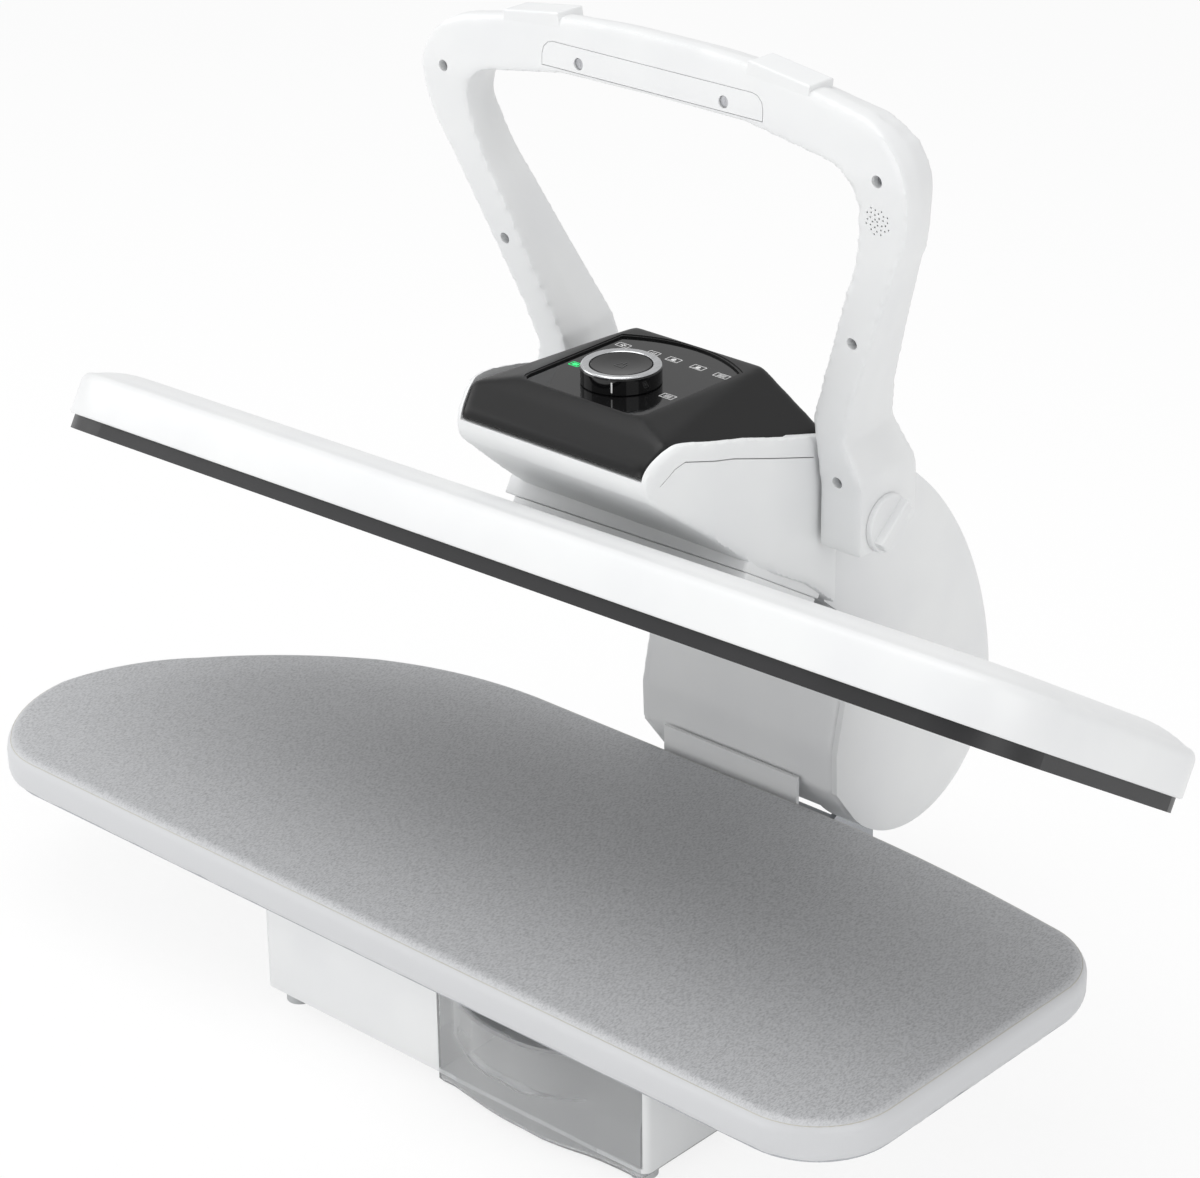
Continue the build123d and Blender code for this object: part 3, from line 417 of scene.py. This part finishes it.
def makeFloor():
    shape = bmesh.new()
    bmesh.ops.create_grid(shape, x_segments=1, y_segments=1, size=3.0)
    mesh = bpy.data.meshes.new("floor")
    shape.to_mesh(mesh)
    shape.free()
    material, tree, surface = newMaterial("white_paper", {"Roughness": 0.9, "Specular IOR Level": 0.1,
                                                          "Base Color": linear("#ffffff")})
    glow = addNode(tree, "ShaderNodeEmission", {"Color": (1, 1, 1, 1), "Strength": 1.0})
    path = addNode(tree, "ShaderNodeLightPath")
    seen = addNode(tree, "ShaderNodeMath", {"operation": "MULTIPLY", 1: 0.85},
                   {0: path.outputs["Is Camera Ray"]})
    mix = addNode(tree, "ShaderNodeMixShader", {}, {0: seen.outputs[0], 1: surface.outputs[0],
                                                   2: glow.outputs[0]})
    tree.links.new(mix.outputs[0], tree.nodes["Material Output"].inputs["Surface"])
    mesh.materials.append(material)
    floor = bpy.data.objects.new("floor", mesh)
    bpy.context.scene.collection.objects.link(floor)


makeCamera()
makeLamps()
makeWorld()
makeFloor()
bpy.context.scene.view_settings.view_transform = "Standard"
print("camera, lamps and floor placed")


# Finishes on the frame's own pieces

finishes = {
    "white_plastic": whiteAbs, "black_plastic": blackAbs, "panel_gloss": glossBlack,
    "dark_plastic": darkNylon, "clear_plastic": clear, "silver_ring": platedRing, "cover_cloth": cloth,
    "felt": feltPad, "rubber": greyRubber, "steel": sheetSteel, "bright_steel": brightSteel,
    "plate_coating": plateCoating, "aluminium": castAluminium, "circuit_board": boardGreen,
    "insulation": glassBlanket,
}


def dressNodes():
    for part in frame["record"]["subparts"]:
        node = frame["nodes"][part["node"]]
        for i in range(max(1, len(node.material_slots))):
            if not node.material_slots:
                node.data.materials.append(finishes[part["material_slot"]])
            node.material_slots[i].material = finishes[part["material_slot"]]


dressNodes()
print("frame dressed")


# Ironing board cover

boardCover = {"left": -420.0, "length": 736.0, "depth": 287.0, "height": 26.0, "topEdge": 9.0,
              "lowEdge": 7.0, "puckerSize": 0.9, "puckerHeight": 16.0, "puckerLength": 11.0, "mesh": 12}


def pressOutline(shape, length, depth):
    a, b = length / 736, depth / 287
    strokes = [
        [(681, 0)], [(719.9, 16.1), (736, 55)], [(736, 220)], [(719, 255), (686, 270)],
        [(600, 281.5), (500, 287)], [(256, 287)], [(194, 278.5), (137, 257)], [(86, 221.5), (43, 178.6)],
        [(12.3, 135), (0, 92)], [(11, 49), (35, 18)], [(53, 5.5), (75, 0)],
    ]
    drawPath(shape, (75 * a, 0), [[(x * a, y * b) for x, y in stroke] for stroke in strokes])
    return fillOutline(shape)


def makeBoardCover():
    cover = boardCover
    shape = bmesh.new()
    base = pressOutline(shape, cover["length"], cover["depth"])
    top = raiseFace(shape, base, cover["height"])
    roundEdges(shape, list(top.edges), cover["topEdge"], 6)
    roundEdges(shape, [e for e in shape.edges if all(v.co.z < 0.01 for v in e.verts)], cover["lowEdge"], 4)
    bmesh.ops.translate(shape, verts=shape.verts[:], vec=(cover["left"], 0, 0))
    cutAcross(shape, 0, range(-410, 316, cover["mesh"]))
    cutAcross(shape, 1, range(10, 287, cover["mesh"]))
    bmesh.ops.recalc_face_normals(shape, faces=shape.faces[:])
    shape.normal_update()
    for v in shape.verts:      # the hem is drawn in by its cord, which leaves slight puckers
        reach = max(0.0, 1 - v.co.z / cover["puckerHeight"])
        wave = noise.noise(Vector((v.co.x / cover["puckerLength"], v.co.y / cover["puckerLength"], 0)))
        v.co += v.normal * cover["puckerSize"] * reach * (wave - 0.4)
    piece = finishPiece(shape, "board_cover_cloth", planView, cloth, "base", 60)
    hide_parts("board_cover")


makeBoardCover()
print("board cover made")


# Pressing shoe cover: a shallow domed moulding that hangs on its pivot, a little lower on the left

shoe = {"left": -402.5, "length": 768.0, "depth": 252.0, "wall": 28.5, "crown": 7.0, "crownRun": 30.0,
        "crownSteps": 5, "edge": 7.0, "edgeSteps": 6, "lowEdge": 1.2, "tilt": 31.64, "droop": 1.24,
        "seam": (0.0, 66.3, 252.8), "pivot": 49.0}


def shoeFrame():
    tilt, droop = math.radians(shoe["tilt"]), math.radians(shoe["droop"])
    level = Vector((0, math.sin(tilt), math.cos(tilt)))
    along = Vector((math.cos(droop), math.sin(droop) * math.sin(tilt), math.sin(droop) * math.cos(tilt)))
    normal = Vector((-math.sin(droop), math.cos(droop) * math.sin(tilt), math.cos(droop) * math.cos(tilt)))
    start = Vector(shoe["seam"]) + shoe["pivot"] * (level - normal)
    turn = Matrix((along, normal.cross(along), normal)).transposed().to_4x4()
    return planView @ Matrix.Translation(start) @ turn


def makeShoeCover():
    shape = bmesh.new()
    base = pressOutline(shape, shoe["length"], shoe["depth"])
    top = raiseFace(shape, base, shoe["wall"] - shoe["edge"])
    bmesh.ops.recalc_face_normals(shape, faces=shape.faces[:])
    steps = shoe["edgeSteps"]
    for i in range(steps):
        a, b = (math.radians(90 * k / steps) for k in (i, i + 1))
        inward = shoe["edge"] * (math.cos(a) - math.cos(b))
        upward = shoe["edge"] * (math.sin(b) - math.sin(a))
        bmesh.ops.inset_region(shape, faces=[top], thickness=inward, depth=upward, use_even_offset=True)
    steps = shoe["crownSteps"]
    for i in range(steps):      # the crown: steep at first, then level
        a, b = i / steps, (i + 1) / steps
        rise = shoe["crown"] * ((1 - (1 - b) ** 2) - (1 - (1 - a) ** 2))
        bmesh.ops.inset_region(shape, faces=[top], thickness=shoe["crownRun"] / steps, depth=rise,
                               use_even_offset=True)
    roundEdges(shape, list(base.edges), shoe["lowEdge"], 3)
    bmesh.ops.translate(shape, verts=shape.verts[:], vec=(shoe["left"], 0, 0))
    piece = finishPiece(shape, "shoe_cover_dome", shoeFrame(), whiteAbs, "shoe", 60)
    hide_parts("shoe_cover")


makeShoeCover()
print("shoe cover made")


# Mounting plate on the shoe, and the skirt that hides the pivot above it

neck = {"plate": ((-92.0, 125.0, 34.0), (92.0, 200.0, 40.9)), "plateEdge": 2.0,
        "skirt": ((-100.0, 124.0, 41.1), (91.0, 205.0, 52.8)), "skirtEdge": 3.0, "rimEdge": 0.8}


def makeNeck(name, low, high, edge, body, node):
    shape = bmesh.new()
    addBlock(shape, low, high)
    corners = [e for e in shape.edges if abs(e.verts[0].co.z - e.verts[1].co.z) > 1]
    roundEdges(shape, corners, edge, 5)
    rims = [e for e in shape.edges if len(e.link_faces) == 2 and e.calc_face_angle() > math.radians(80)]
    roundEdges(shape, rims, neck["rimEdge"], 3)
    piece = finishPiece(shape, name, shoeFrame(), whiteAbs, body, 40)
    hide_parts(node)


makeNeck("mount_plate_pad", *neck["plate"], neck["plateEdge"], "shoe", "mount_plate")
makeNeck("neck_skirt_wall", *neck["skirt"], neck["skirtEdge"], "arm", "neck_skirt")
print("neck made")


# Handle: a closed loop whose legs widen, with soft edges all round

handle = {"draft": 6.0, "depth": 20.0, "voxel": 2.1, "relax": 8, "holeRadius": 3.6, "holeDepth": 8.0,
          "holes": ((54.7, 493.8), (164.0, 471.5), (134.4, 364.7), (112.0, 267.6)),
          "face": ((200, 253.1), (260, 253.1), (471, 215.1), (494, 215.8), (540, 219.0)),
          "back": ((200, 314), (263, 314), (307, 298), (377, 273), (450, 249), (505, 247), (540, 243)),
          "grip": (83.0, 488.5, 503.0, 8.0), "gripGap": 0.5, "gripThick": 2.0, "gripProud": 0.05,
          "gripBack": 1.2, "seatDepth": 1.4, "speaker": (161.7, 447.2, 30, 0.62), "speakerSpacing": 1.62}


def handleOutline(shape):
    right = [
        [(75, 517.3), (145, 506)], [(172.5, 492), (184, 468)], [(181, 442), (171.5, 420)], [(128, 322)],
        [(120, 296)], [(129, 272)], [(129, 223)], [(97.4, 223)], [(97.4, 306)], [(133, 397)],
        [(143.5, 424), (147.5, 448)], [(142.5, 467), (125, 476)], [(97, 480.5), (70, 485)], [(0, 486)],
    ]
    drawPath(shape, (0, 520.5), right)
    half = bmesh.ops.duplicate(shape, geom=shape.verts[:] + shape.edges[:])
    copies = [g for g in half["geom"] if isinstance(g, bmesh.types.BMVert)]
    bmesh.ops.scale(shape, vec=(-1, 1, 1), verts=copies)
    bmesh.ops.remove_doubles(shape, verts=shape.verts[:], dist=0.05)
    bmesh.ops.triangle_fill(shape, use_beauty=True, edges=shape.edges[:])
    bmesh.ops.dissolve_limit(shape, angle_limit=0.02, verts=shape.verts[:], edges=shape.edges[:])


def addHole(cutter, place, radius, length, segments=32):
    x, y, z = place
    hole = bmesh.ops.create_cone(cutter, cap_ends=True, segments=segments, radius1=radius, radius2=radius,
                                 depth=length)
    bmesh.ops.translate(cutter, verts=hole["verts"], vec=(x, z, -y))


def makeHandle():
    shape = bmesh.new()
    handleOutline(shape)
    faces = shape.faces[:]
    grown = bmesh.ops.extrude_face_region(shape, geom=faces, use_keep_orig=True)
    backs = [g for g in grown["geom"] if isinstance(g, bmesh.types.BMFace)]
    backVerts = list({v for f in backs for v in f.verts})
    bmesh.ops.translate(shape, verts=backVerts, vec=(0, 0, -handle["depth"]))
    bmesh.ops.recalc_face_normals(shape, faces=shape.faces[:])
    bmesh.ops.inset_region(shape, faces=backs, thickness=handle["draft"], depth=handle["depth"],
                           use_even_offset=True)
    cutAcross(shape, 1, [260 + 6 * i for i in range(44)])
    for v in shape.verts:
        if v.co.z > -1:
            v.co.z = -between(v.co.y, handle["face"])
        elif v.co.z < -1.5 * handle["depth"]:
            v.co.z = -between(v.co.y, handle["back"])
        else:
            v.co.z = -0.6 * between(v.co.y, handle["face"]) - 0.4 * between(v.co.y, handle["back"])
    bmesh.ops.recalc_face_normals(shape, faces=shape.faces[:])
    piece = finishPiece(shape, "handle_loop", frontView, whiteAbs, "arm", 40)
    soften(piece, handle["voxel"], handle["relax"], 60)
    cutter = bmesh.new()
    reach = 60      # each bore starts well in front of the face
    for x, z in handle["holes"]:
        y = between(z, handle["face"]) + handle["holeDepth"] - reach / 2
        for side in (-1, 1):
            addHole(cutter, (side * x, y, z), handle["holeRadius"], reach)
    x, z, dots, radius = handle["speaker"]
    y = between(z, handle["face"])
    for i in range(dots):      # holes in the order of a sunflower's seeds
        turn, reach = i * goldenTurn, handle["speakerSpacing"] * math.sqrt(i)
        addHole(cutter, (x + reach * math.cos(turn), y, z + reach * math.sin(turn)), radius, 8, 12)
    carve(piece, looseShape(cutter, frontView))
    seat = bmesh.new()      # the grip plate lies in this, with a fine gap round it
    raiseFace(seat, gripOutline(seat, handle["gripGap"]), 8)
    seatFloor = -between(495, handle["face"]) - handle["seatDepth"]
    bmesh.ops.translate(seat, verts=seat.verts[:], vec=(0, 0, seatFloor))
    carve(piece, looseShape(seat, frontView))
    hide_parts("handle_front", "handle_back")


def gripOutline(shape, grow):
    half, low, high, corner = handle["grip"]
    half, low, high, corner = half + grow, low - grow, high + grow, corner + grow
    k = corner * arcMiddle
    drawPath(shape, (-half, low), [[(half, low)], [(half, high - corner)],
             [(half - k, high - k), (half - corner, high)], [(corner - half, high)],
             [(k - half, high - k), (-half, high - corner)], [(-half, low)]])
    return fillOutline(shape)


def makeGripPlate():
    shape = bmesh.new()
    low = handle["grip"][1]
    raiseFace(shape, gripOutline(shape, 0), handle["gripThick"])
    cutAcross(shape, 1, [low + 3 * i for i in range(1, 5)])
    for v in shape.verts:
        lift = handle["gripProud"] if v.co.z > 1 else -handle["gripBack"]
        v.co.z = lift - between(v.co.y, handle["face"])
    piece = finishPiece(shape, "grip_plate_face", frontView, whiteAbs, "arm", 30)
    cutter = bmesh.new()
    x, z = handle["holes"][0]
    for side in (-1, 1):
        addHole(cutter, (side * x, between(z, handle["face"]), z), handle["holeRadius"], 20)
    carve(piece, looseShape(cutter, frontView))
    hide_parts("grip_plate")


makeHandle()
makeGripPlate()
print("handle made")


# Cowl: a black moulding that curls over at the front, falls at the sides and has a sunk window

cowl = {"top": 322.0, "low": 278.0, "front": 128.0, "back": 282.0, "voxel": 1.5, "relax": 34,
        "trim": ((-110, 100, 238.6), (110, 160, 298.6)), "rim": 1.4, "rimDepth": 0.5, "sunk": 1.8,
        "window": (46.0, 154.0, 242.0, 256.0, 7.0),
        "halfWidth": ((110, 70.3), (127, 70.3), (170, 84.8), (215, 89.3), (250, 91.3), (280, 91.3)),
        "curl": ((128, 299.5), (131, 306.5), (136.7, 311.6), (143.4, 316), (150, 322)),
        "lowFront": (71, 152, 316.3), "lowBack": (91, 256, 292), "highBack": (52, 240, 322),
        "highFront": (48, 158, 322), "rear": (0, 260, 322), "rearSlope": (0, 29, 5)}


def mirrored(place):
    return Vector((-place.x, place.y, place.z))


def cutAway(shape, point, normal):
    # Take off what lies beyond a plane and close the cut
    cut = bmesh.ops.bisect_plane(shape, geom=shape.verts[:] + shape.edges[:] + shape.faces[:],
                                 plane_co=point, plane_no=normal, dist=0.001, clear_outer=True)
    rim = [g for g in cut["geom_cut"] if isinstance(g, bmesh.types.BMEdge)]
    bmesh.ops.edgenet_fill(shape, edges=rim)


def windowOutline(shape, grow, height):
    half, front, sideEnd, back, corner = cowl["window"]
    half, front, sideEnd = half + grow, front - grow, sideEnd + grow
    back, corner = back + grow, corner + grow
    k = corner * arcMiddle
    drawPath(shape, (-half, sideEnd), [
        [(-half, front + corner)], [(k - half, front + k), (corner - half, front)], [(half - corner, front)],
        [(half - k, front + k), (half, front + corner)], [(half, sideEnd)], [(0, back), (-half, sideEnd)]])
    bmesh.ops.translate(shape, verts=shape.verts[:], vec=(0, 0, height))
    return fillOutline(shape)


def makeCowl():
    shape = bmesh.new()
    addBlock(shape, (-1, cowl["front"], cowl["low"]), (1, cowl["back"], cowl["top"]))
    cutAcross(shape, 1, [cowl["front"] + 6 * i for i in range(1, 24)])
    for v in shape.verts:
        v.co.x = math.copysign(between(v.co.y, cowl["halfWidth"]), v.co.x)
    for (y0, z0), (y1, z1) in zip(cowl["curl"], cowl["curl"][1:]):
        cutAway(shape, (0, y0, z0), Vector((0, z0 - z1, y1 - y0)))
    lowFront, lowBack = Vector(cowl["lowFront"]), Vector(cowl["lowBack"])
    highBack, highFront = Vector(cowl["highBack"]), Vector(cowl["highFront"])
    steep = (lowBack - lowFront).cross(highBack - lowFront).normalized()
    gentle = (highBack - lowFront).cross(highFront - lowFront).normalized()
    for normal in (steep, gentle):
        cutAway(shape, lowFront, normal)
        cutAway(shape, mirrored(lowFront), mirrored(normal))
    cutAway(shape, cowl["rear"], Vector(cowl["rearSlope"]))
    bmesh.ops.recalc_face_normals(shape, faces=shape.faces[:])
    piece = finishPiece(shape, "cowl_hood", planView, blackAbs, "arm", 35)
    soften(piece, cowl["voxel"], cowl["relax"], 60)
    below = bmesh.new()      # trims the front straight, where it meets the white lip
    addBlock(below, *cowl["trim"])
    carve(piece, looseShape(below, planView))
    for grow, sunk in ((cowl["rim"], cowl["rimDepth"]), (0.0, cowl["sunk"])):
        cutter = bmesh.new()
        raiseFace(cutter, windowOutline(cutter, grow, cowl["top"] - sunk), 20)
        carve(piece, looseShape(cutter, planView))
    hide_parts("cowl")


makeCowl()
print("cowl made")


# Water tank: a clear drawer whose front bulges above a lip that fingers pull

tank = {"left": -6.4, "right": 154.9, "front": 29.0, "back": 150.0, "wall": 1.6, "frontZone": 40,
        "floor": -83.5, "floorBulge": 0.28, "floorSetBack": 1.5, "floorDraw": 0.015, "rows": (
    (-81.5, 0.30), (-80.0, 0.32), (-60.0, 0.34), (-49.0, 0.42), (-46.0, 0.6), (-43.6, 0.95), (-42.6, 1.04),
    (-41.6, 1.04), (-40.6, 0.97), (-30.0, 0.94), (-12.0, 0.94))}


def makeTank():
    shape = bmesh.new()
    left, right, back = tank["left"], tank["right"], tank["back"]
    drawPath(shape, (left, back), [
        [(left, 31)], [(left + 0.7, 29.2), (left + 2.5, 28.5)], [(5, 29)], [(18, 22), (38, 12)],
        [(47, 9), (66, 8)], [(76, 7), (83, 6.5)], [(94, 11), (114, 24)], [(125, 28.6)], [(139, 31.6)],
        [(right - 2.5, 31.8)], [(right - 0.7, 32.5), (right, 34)], [(right, back)], [(left, back)]])
    ring = shape.edges[:]
    floor = fillOutline(shape)
    share = 1.0
    for v in shape.verts:
        v.co.z = tank["floor"]
    middle = (left + right) / 2
    for z, bulge in tank["rows"]:
        grown = bmesh.ops.extrude_edge_only(shape, edges=ring)
        ring = [g for g in grown["geom"] if isinstance(g, bmesh.types.BMEdge)]
        for v in [g for g in grown["geom"] if isinstance(g, bmesh.types.BMVert)]:
            v.co.z = z
            if v.co.y < tank["frontZone"]:
                v.co.y = tank["front"] - (tank["front"] - v.co.y) * bulge / share
        share = bulge
    for v in floor.verts:
        v.co.x += tank["floorDraw"] * (middle - v.co.x)
        if v.co.y < tank["frontZone"]:
            v.co.y = tank["front"] - (tank["front"] - v.co.y) * tank["floorBulge"] + tank["floorSetBack"]
    bmesh.ops.recalc_face_normals(shape, faces=shape.faces[:])
    bmesh.ops.solidify(shape, geom=shape.faces[:], thickness=tank["wall"])
    piece = finishPiece(shape, "water_tank_clear", planView, clear, "tank", 40)
    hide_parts("water_tank")


makeTank()
print("tank made")


# Hinge arm: the pod's body and the drum in one shell, with a low dome on each side of the drum

armBody = {"voxel": 2.4, "relax": 6, "domeFrom": 278.0, "domeStart": {1: 79.0, -1: 72.0},
           "dome": ((4.0, 0.0), (3.0, 8.0), (1.2, 26.0)), "mouth": ((-56, 280, -70), (56, 410, 10)),
           "halfWidth": ((110, 74), (127, 74), (170, 88.5), (215, 93), (250, 95), (276, 95), (277, 79),
                         (480, 79)),
           "lip": 3.8, "shelf": 296.5, "seamGap": 0.7, "seamFrom": 64, "seamDepth": 40,
           "seam": ((136.5, 293.5), (141, 297.5), (145.5, 302), (152, 305), (185, 298.5), (251, 279.5))}


def armOutline(shape):
    drawPath(shape, (127.2, 291), [
        [(128, 299)], [(132, 306)], [(140, 312)], [(148.5, 316)], [(162, 314)], [(196, 307)], [(232, 297)],
        [(258, 291)], [(276, 285)], [(290, 275)], [(340, 248), (385, 211)], [(433, 135), (449, 62)],
        [(371, -16), (312, 10)], [(294, 34)], [(293, 62)], [(301, 98)], [(308, 132)],
        [(305.5, 149), (295, 159)], [(249, 197.5)], [(207, 221.5)], [(165, 256)], [(130, 284)],
        [(127.2, 291)]])
    return fillOutline(shape)


def makeArmBody():
    shape = bmesh.new()
    raiseFace(shape, armOutline(shape), 10)
    cutAcross(shape, 0, [130 + 5 * i for i in range(29)] + [275.5, 277] + [290 + 10 * i for i in range(16)])
    for v in shape.verts:
        v.co.z = math.copysign(between(v.co.x, armBody["halfWidth"]), v.co.z - 5)
    piece = finishPiece(shape, "arm_body", sideView, whiteAbs, "arm", 40)
    soften(piece, armBody["voxel"], armBody["relax"], 50)
    room = bmesh.new()      # leaves the white lip that stands round the cowl
    addBlock(room, (-1, 120, armBody["shelf"]), (1, 260, armBody["shelf"] + 60))
    cutAcross(room, 1, [125 + 5 * i for i in range(27)])
    for v in room.verts:
        v.co.x = math.copysign(between(v.co.y, armBody["halfWidth"]) - armBody["lip"], v.co.x)
    carve(piece, looseShape(room, planView))
    for side in (-1, 1):
        seam = bmesh.new()
        line = armBody["seam"]
        under = [(y, z - armBody["seamGap"]) for y, z in reversed(line)]
        drawPath(seam, line[0], [[point] for point in (*line[1:], *under, line[0])])
        raiseFace(seam, fillOutline(seam), armBody["seamDepth"])
        bmesh.ops.translate(seam, verts=seam.verts[:], vec=(0, 0, armBody["seamFrom"]))
        bmesh.ops.scale(seam, verts=seam.verts[:], vec=(1, 1, side))
        carve(piece, looseShape(seam, sideView))
    mouth = bmesh.new()      # the arm swings over the pedestal through this
    addBlock(mouth, *armBody["mouth"])
    carve(piece, looseShape(mouth, planView))
    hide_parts("arm_shell", "pod_band")


def makeDrumSide(side, node):
    shape = bmesh.new()
    armOutline(shape)
    cutAway(shape, (armBody["domeFrom"], 0, 0), Vector((-1, 0, 0)))
    shape.faces.ensure_lookup_table()
    top = raiseFace(shape, shape.faces[0], armBody["dome"][0][0])
    bmesh.ops.recalc_face_normals(shape, faces=shape.faces[:])
    for rise, inward in armBody["dome"][1:]:
        bmesh.ops.inset_region(shape, faces=[top], thickness=inward, depth=rise, use_even_offset=True)
    bmesh.ops.translate(shape, verts=shape.verts[:], vec=(0, 0, armBody["domeStart"][side]))
    bmesh.ops.scale(shape, vec=(1, 1, side), verts=shape.verts[:])
    piece = finishPiece(shape, node + "_dome", sideView, whiteAbs, "arm", 20)
    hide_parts(node)


makeArmBody()
makeDrumSide(1, "side_cover_right")
makeDrumSide(-1, "side_cover_left")
print("arm body made")


# Panel glass, its signs and the dial

panel = {"thick": 2.2, "top": 320.35, "stroke": 0.45, "ink": 0.12, "signs": (
    ("green", -38, 192, 7.0, 5.0), ("cross", -37, 233, 9.0, 5.0), ("bars", -15, 235, 8.0, 5.0),
    ("dome", 1, 235, 9.0, 5.5), ("dome", 20, 235, 9.0, 5.5), ("waves", 39, 234, 10.0, 5.0),
    ("waves", 36, 190, 9.0, 5.5))}


def makePanel():
    shape = bmesh.new()
    raiseFace(shape, windowOutline(shape, -0.2, panel["top"] - panel["thick"]), panel["thick"])
    piece = finishPiece(shape, "panel_glass", planView, glossBlack, "arm", 30)
    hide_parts("control_panel")


def plate(shape, x, y, width, depth):
    height = panel["ink"]
    made = bmesh.ops.create_cube(shape, size=1.0)
    bmesh.ops.scale(shape, vec=(width, depth, height), verts=made["verts"])
    bmesh.ops.translate(shape, verts=made["verts"], vec=(x, y, panel["top"] + height / 2))


def makeSigns():
    shape, green = bmesh.new(), bmesh.new()
    for kind, x, y, width, depth in panel["signs"]:
        ink = green if kind == "green" else shape
        thin = panel["stroke"]
        for side in (-1, 1):      # the frame round the sign
            plate(ink, x, y + side * depth / 2, width, thin)
            plate(ink, x + side * width / 2, y, thin, depth)
        if kind == "green":
            plate(ink, x, y, width * 0.6, depth * 0.55)
        if kind == "cross":
            plate(ink, x, y, width * 0.5, thin * 2)
            plate(ink, x, y, thin * 2, depth * 0.6)
        if kind == "bars":
            for i in (-1, 0, 1):
                plate(ink, x + 1.6 * i, y, thin * 1.4, depth * (0.35 + 0.12 * i))
        if kind == "dome":
            disc = bmesh.ops.create_circle(ink, cap_ends=True, segments=24, radius=depth * 0.3)
            bmesh.ops.translate(ink, verts=disc["verts"], vec=(x, y, panel["top"] + 0.1))
            plate(ink, x, y - depth * 0.3, width * 0.6, thin)
        if kind == "waves":
            for i in (-1, 0, 1):
                plate(ink, x, y + 1.2 * i, width * 0.55, thin)
    finishPiece(shape, "panel_signs", planView, whiteInkPaintedGlow, "arm", 30)
    finishPiece(green, "panel_light", planView, greenLight, "arm", 30)


dial = {"centre": (0, 190, 320.4), "radius": 24.0, "height": 11.6, "cap": 18.4, "well": 7.0,
        "pointerTurn": 28.6, "pointer": (0.9, 0.3), "pointerSpan": (0.45, 0.55),
        "signOuter": 4.4, "signInner": 3.7, "signGap": 28.0, "signBar": (0.7, 4.0),
        "signBarPlace": 3.2, "signDrop": 1.6}


def turned(name, material, body, node, start, strokes):
    # A profile of (radius, height) turned round the dial's axis
    shape = bmesh.new()
    drawPath(shape, start, strokes)
    bmesh.ops.rotate(shape, cent=(0, 0, 0), matrix=Matrix.Rotation(math.radians(90), 3, "X"),
                     verts=shape.verts[:])
    bmesh.ops.spin(shape, geom=shape.verts[:] + shape.edges[:], cent=(0, 0, 0), axis=(0, 0, 1),
                   angle=math.tau, steps=96, use_merge=True)
    bmesh.ops.remove_doubles(shape, verts=shape.verts[:], dist=0.01)
    bmesh.ops.translate(shape, verts=shape.verts[:], vec=dial["centre"])
    piece = finishPiece(shape, name, planView, material, body, 30)
    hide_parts(node)


def makeDial():
    r, h, cap = dial["radius"], dial["height"], dial["cap"]
    well = h - dial["well"]
    turned("dial_knob", glossBlack, "dial", "dial_body", (0, 0), [
        [(r - 0.6, 0)], [(r, 0.6)], [(r, h - 2.2)], [(r - 0.6, h - 1.4)], [(cap + 0.3, h - 1.4)],
        [(cap + 0.3, well)], [(0, well)]])
    turned("dial_silver_ring", platedRing, "dial", "dial_ring", (cap + 0.4, h - 1.4), [
        [(r - 0.5, h - 1.4)], [(r - 0.3, h - 1.0)], [(r - 0.8, h - 0.3), (r - 2, h)], [(cap + 0.9, h - 0.4)],
        [(cap + 0.4, h - 0.8)], [(cap + 0.4, h - 1.4)]])
    turned("power_cap_dished", glossBlack, "power_cap", "power_cap", (0, h - 4.8), [
        [(cap - 0.2, h - 4.8)], [(cap - 0.2, h - 1.4)], [(cap - 0.5, h - 0.8), (cap - 1.3, h - 0.7)],
        [(cap * 0.55, h - 1.5), (0, h - 1.8)]])


def makePointer():
    r, h, turn = dial["radius"], dial["height"], math.radians(dial["pointerTurn"])
    middle, tall = dial["pointerSpan"]      # shares of the dial's height
    shape = bmesh.new()
    bmesh.ops.create_cube(shape, size=1.0)
    bmesh.ops.scale(shape, vec=(*dial["pointer"], h * tall), verts=shape.verts[:])
    bmesh.ops.translate(shape, verts=shape.verts[:], vec=(0, -r, h * middle))
    bmesh.ops.rotate(shape, verts=shape.verts[:], matrix=Matrix.Rotation(turn, 3, "Z"))
    bmesh.ops.translate(shape, verts=shape.verts[:], vec=dial["centre"])
    finishPiece(shape, "dial_pointer", planView, whiteInkPaintedGlow, "dial", 30)


def makePowerSign():
    # An open ring with a bar in its gap, lying on the cap
    outer, inner, gap = dial["signOuter"], dial["signInner"], math.radians(dial["signGap"])
    shape = bmesh.new()
    a = (outer * math.sin(gap), outer * math.cos(gap))
    b = (inner * math.sin(gap), inner * math.cos(gap))
    drawPath(shape, a, [[(0, -outer), (-a[0], a[1])], [(-b[0], b[1])], [(0, -inner), b], [a]])
    fillOutline(shape)
    bar = bmesh.ops.create_grid(shape, x_segments=1, y_segments=1, size=0.5)
    bmesh.ops.scale(shape, vec=(*dial["signBar"], 1), verts=bar["verts"])
    bmesh.ops.translate(shape, vec=(0, dial["signBarPlace"], 0), verts=bar["verts"])
    x, y, z = dial["centre"]
    bmesh.ops.translate(shape, verts=shape.verts[:], vec=(x, y, z + dial["height"] - dial["signDrop"]))
    finishPiece(shape, "power_sign", planView, greyInk, "power_cap", 30)


makePanel()
makeSigns()
makeDial()
makePointer()
makePowerSign()
print("panel and dial made")
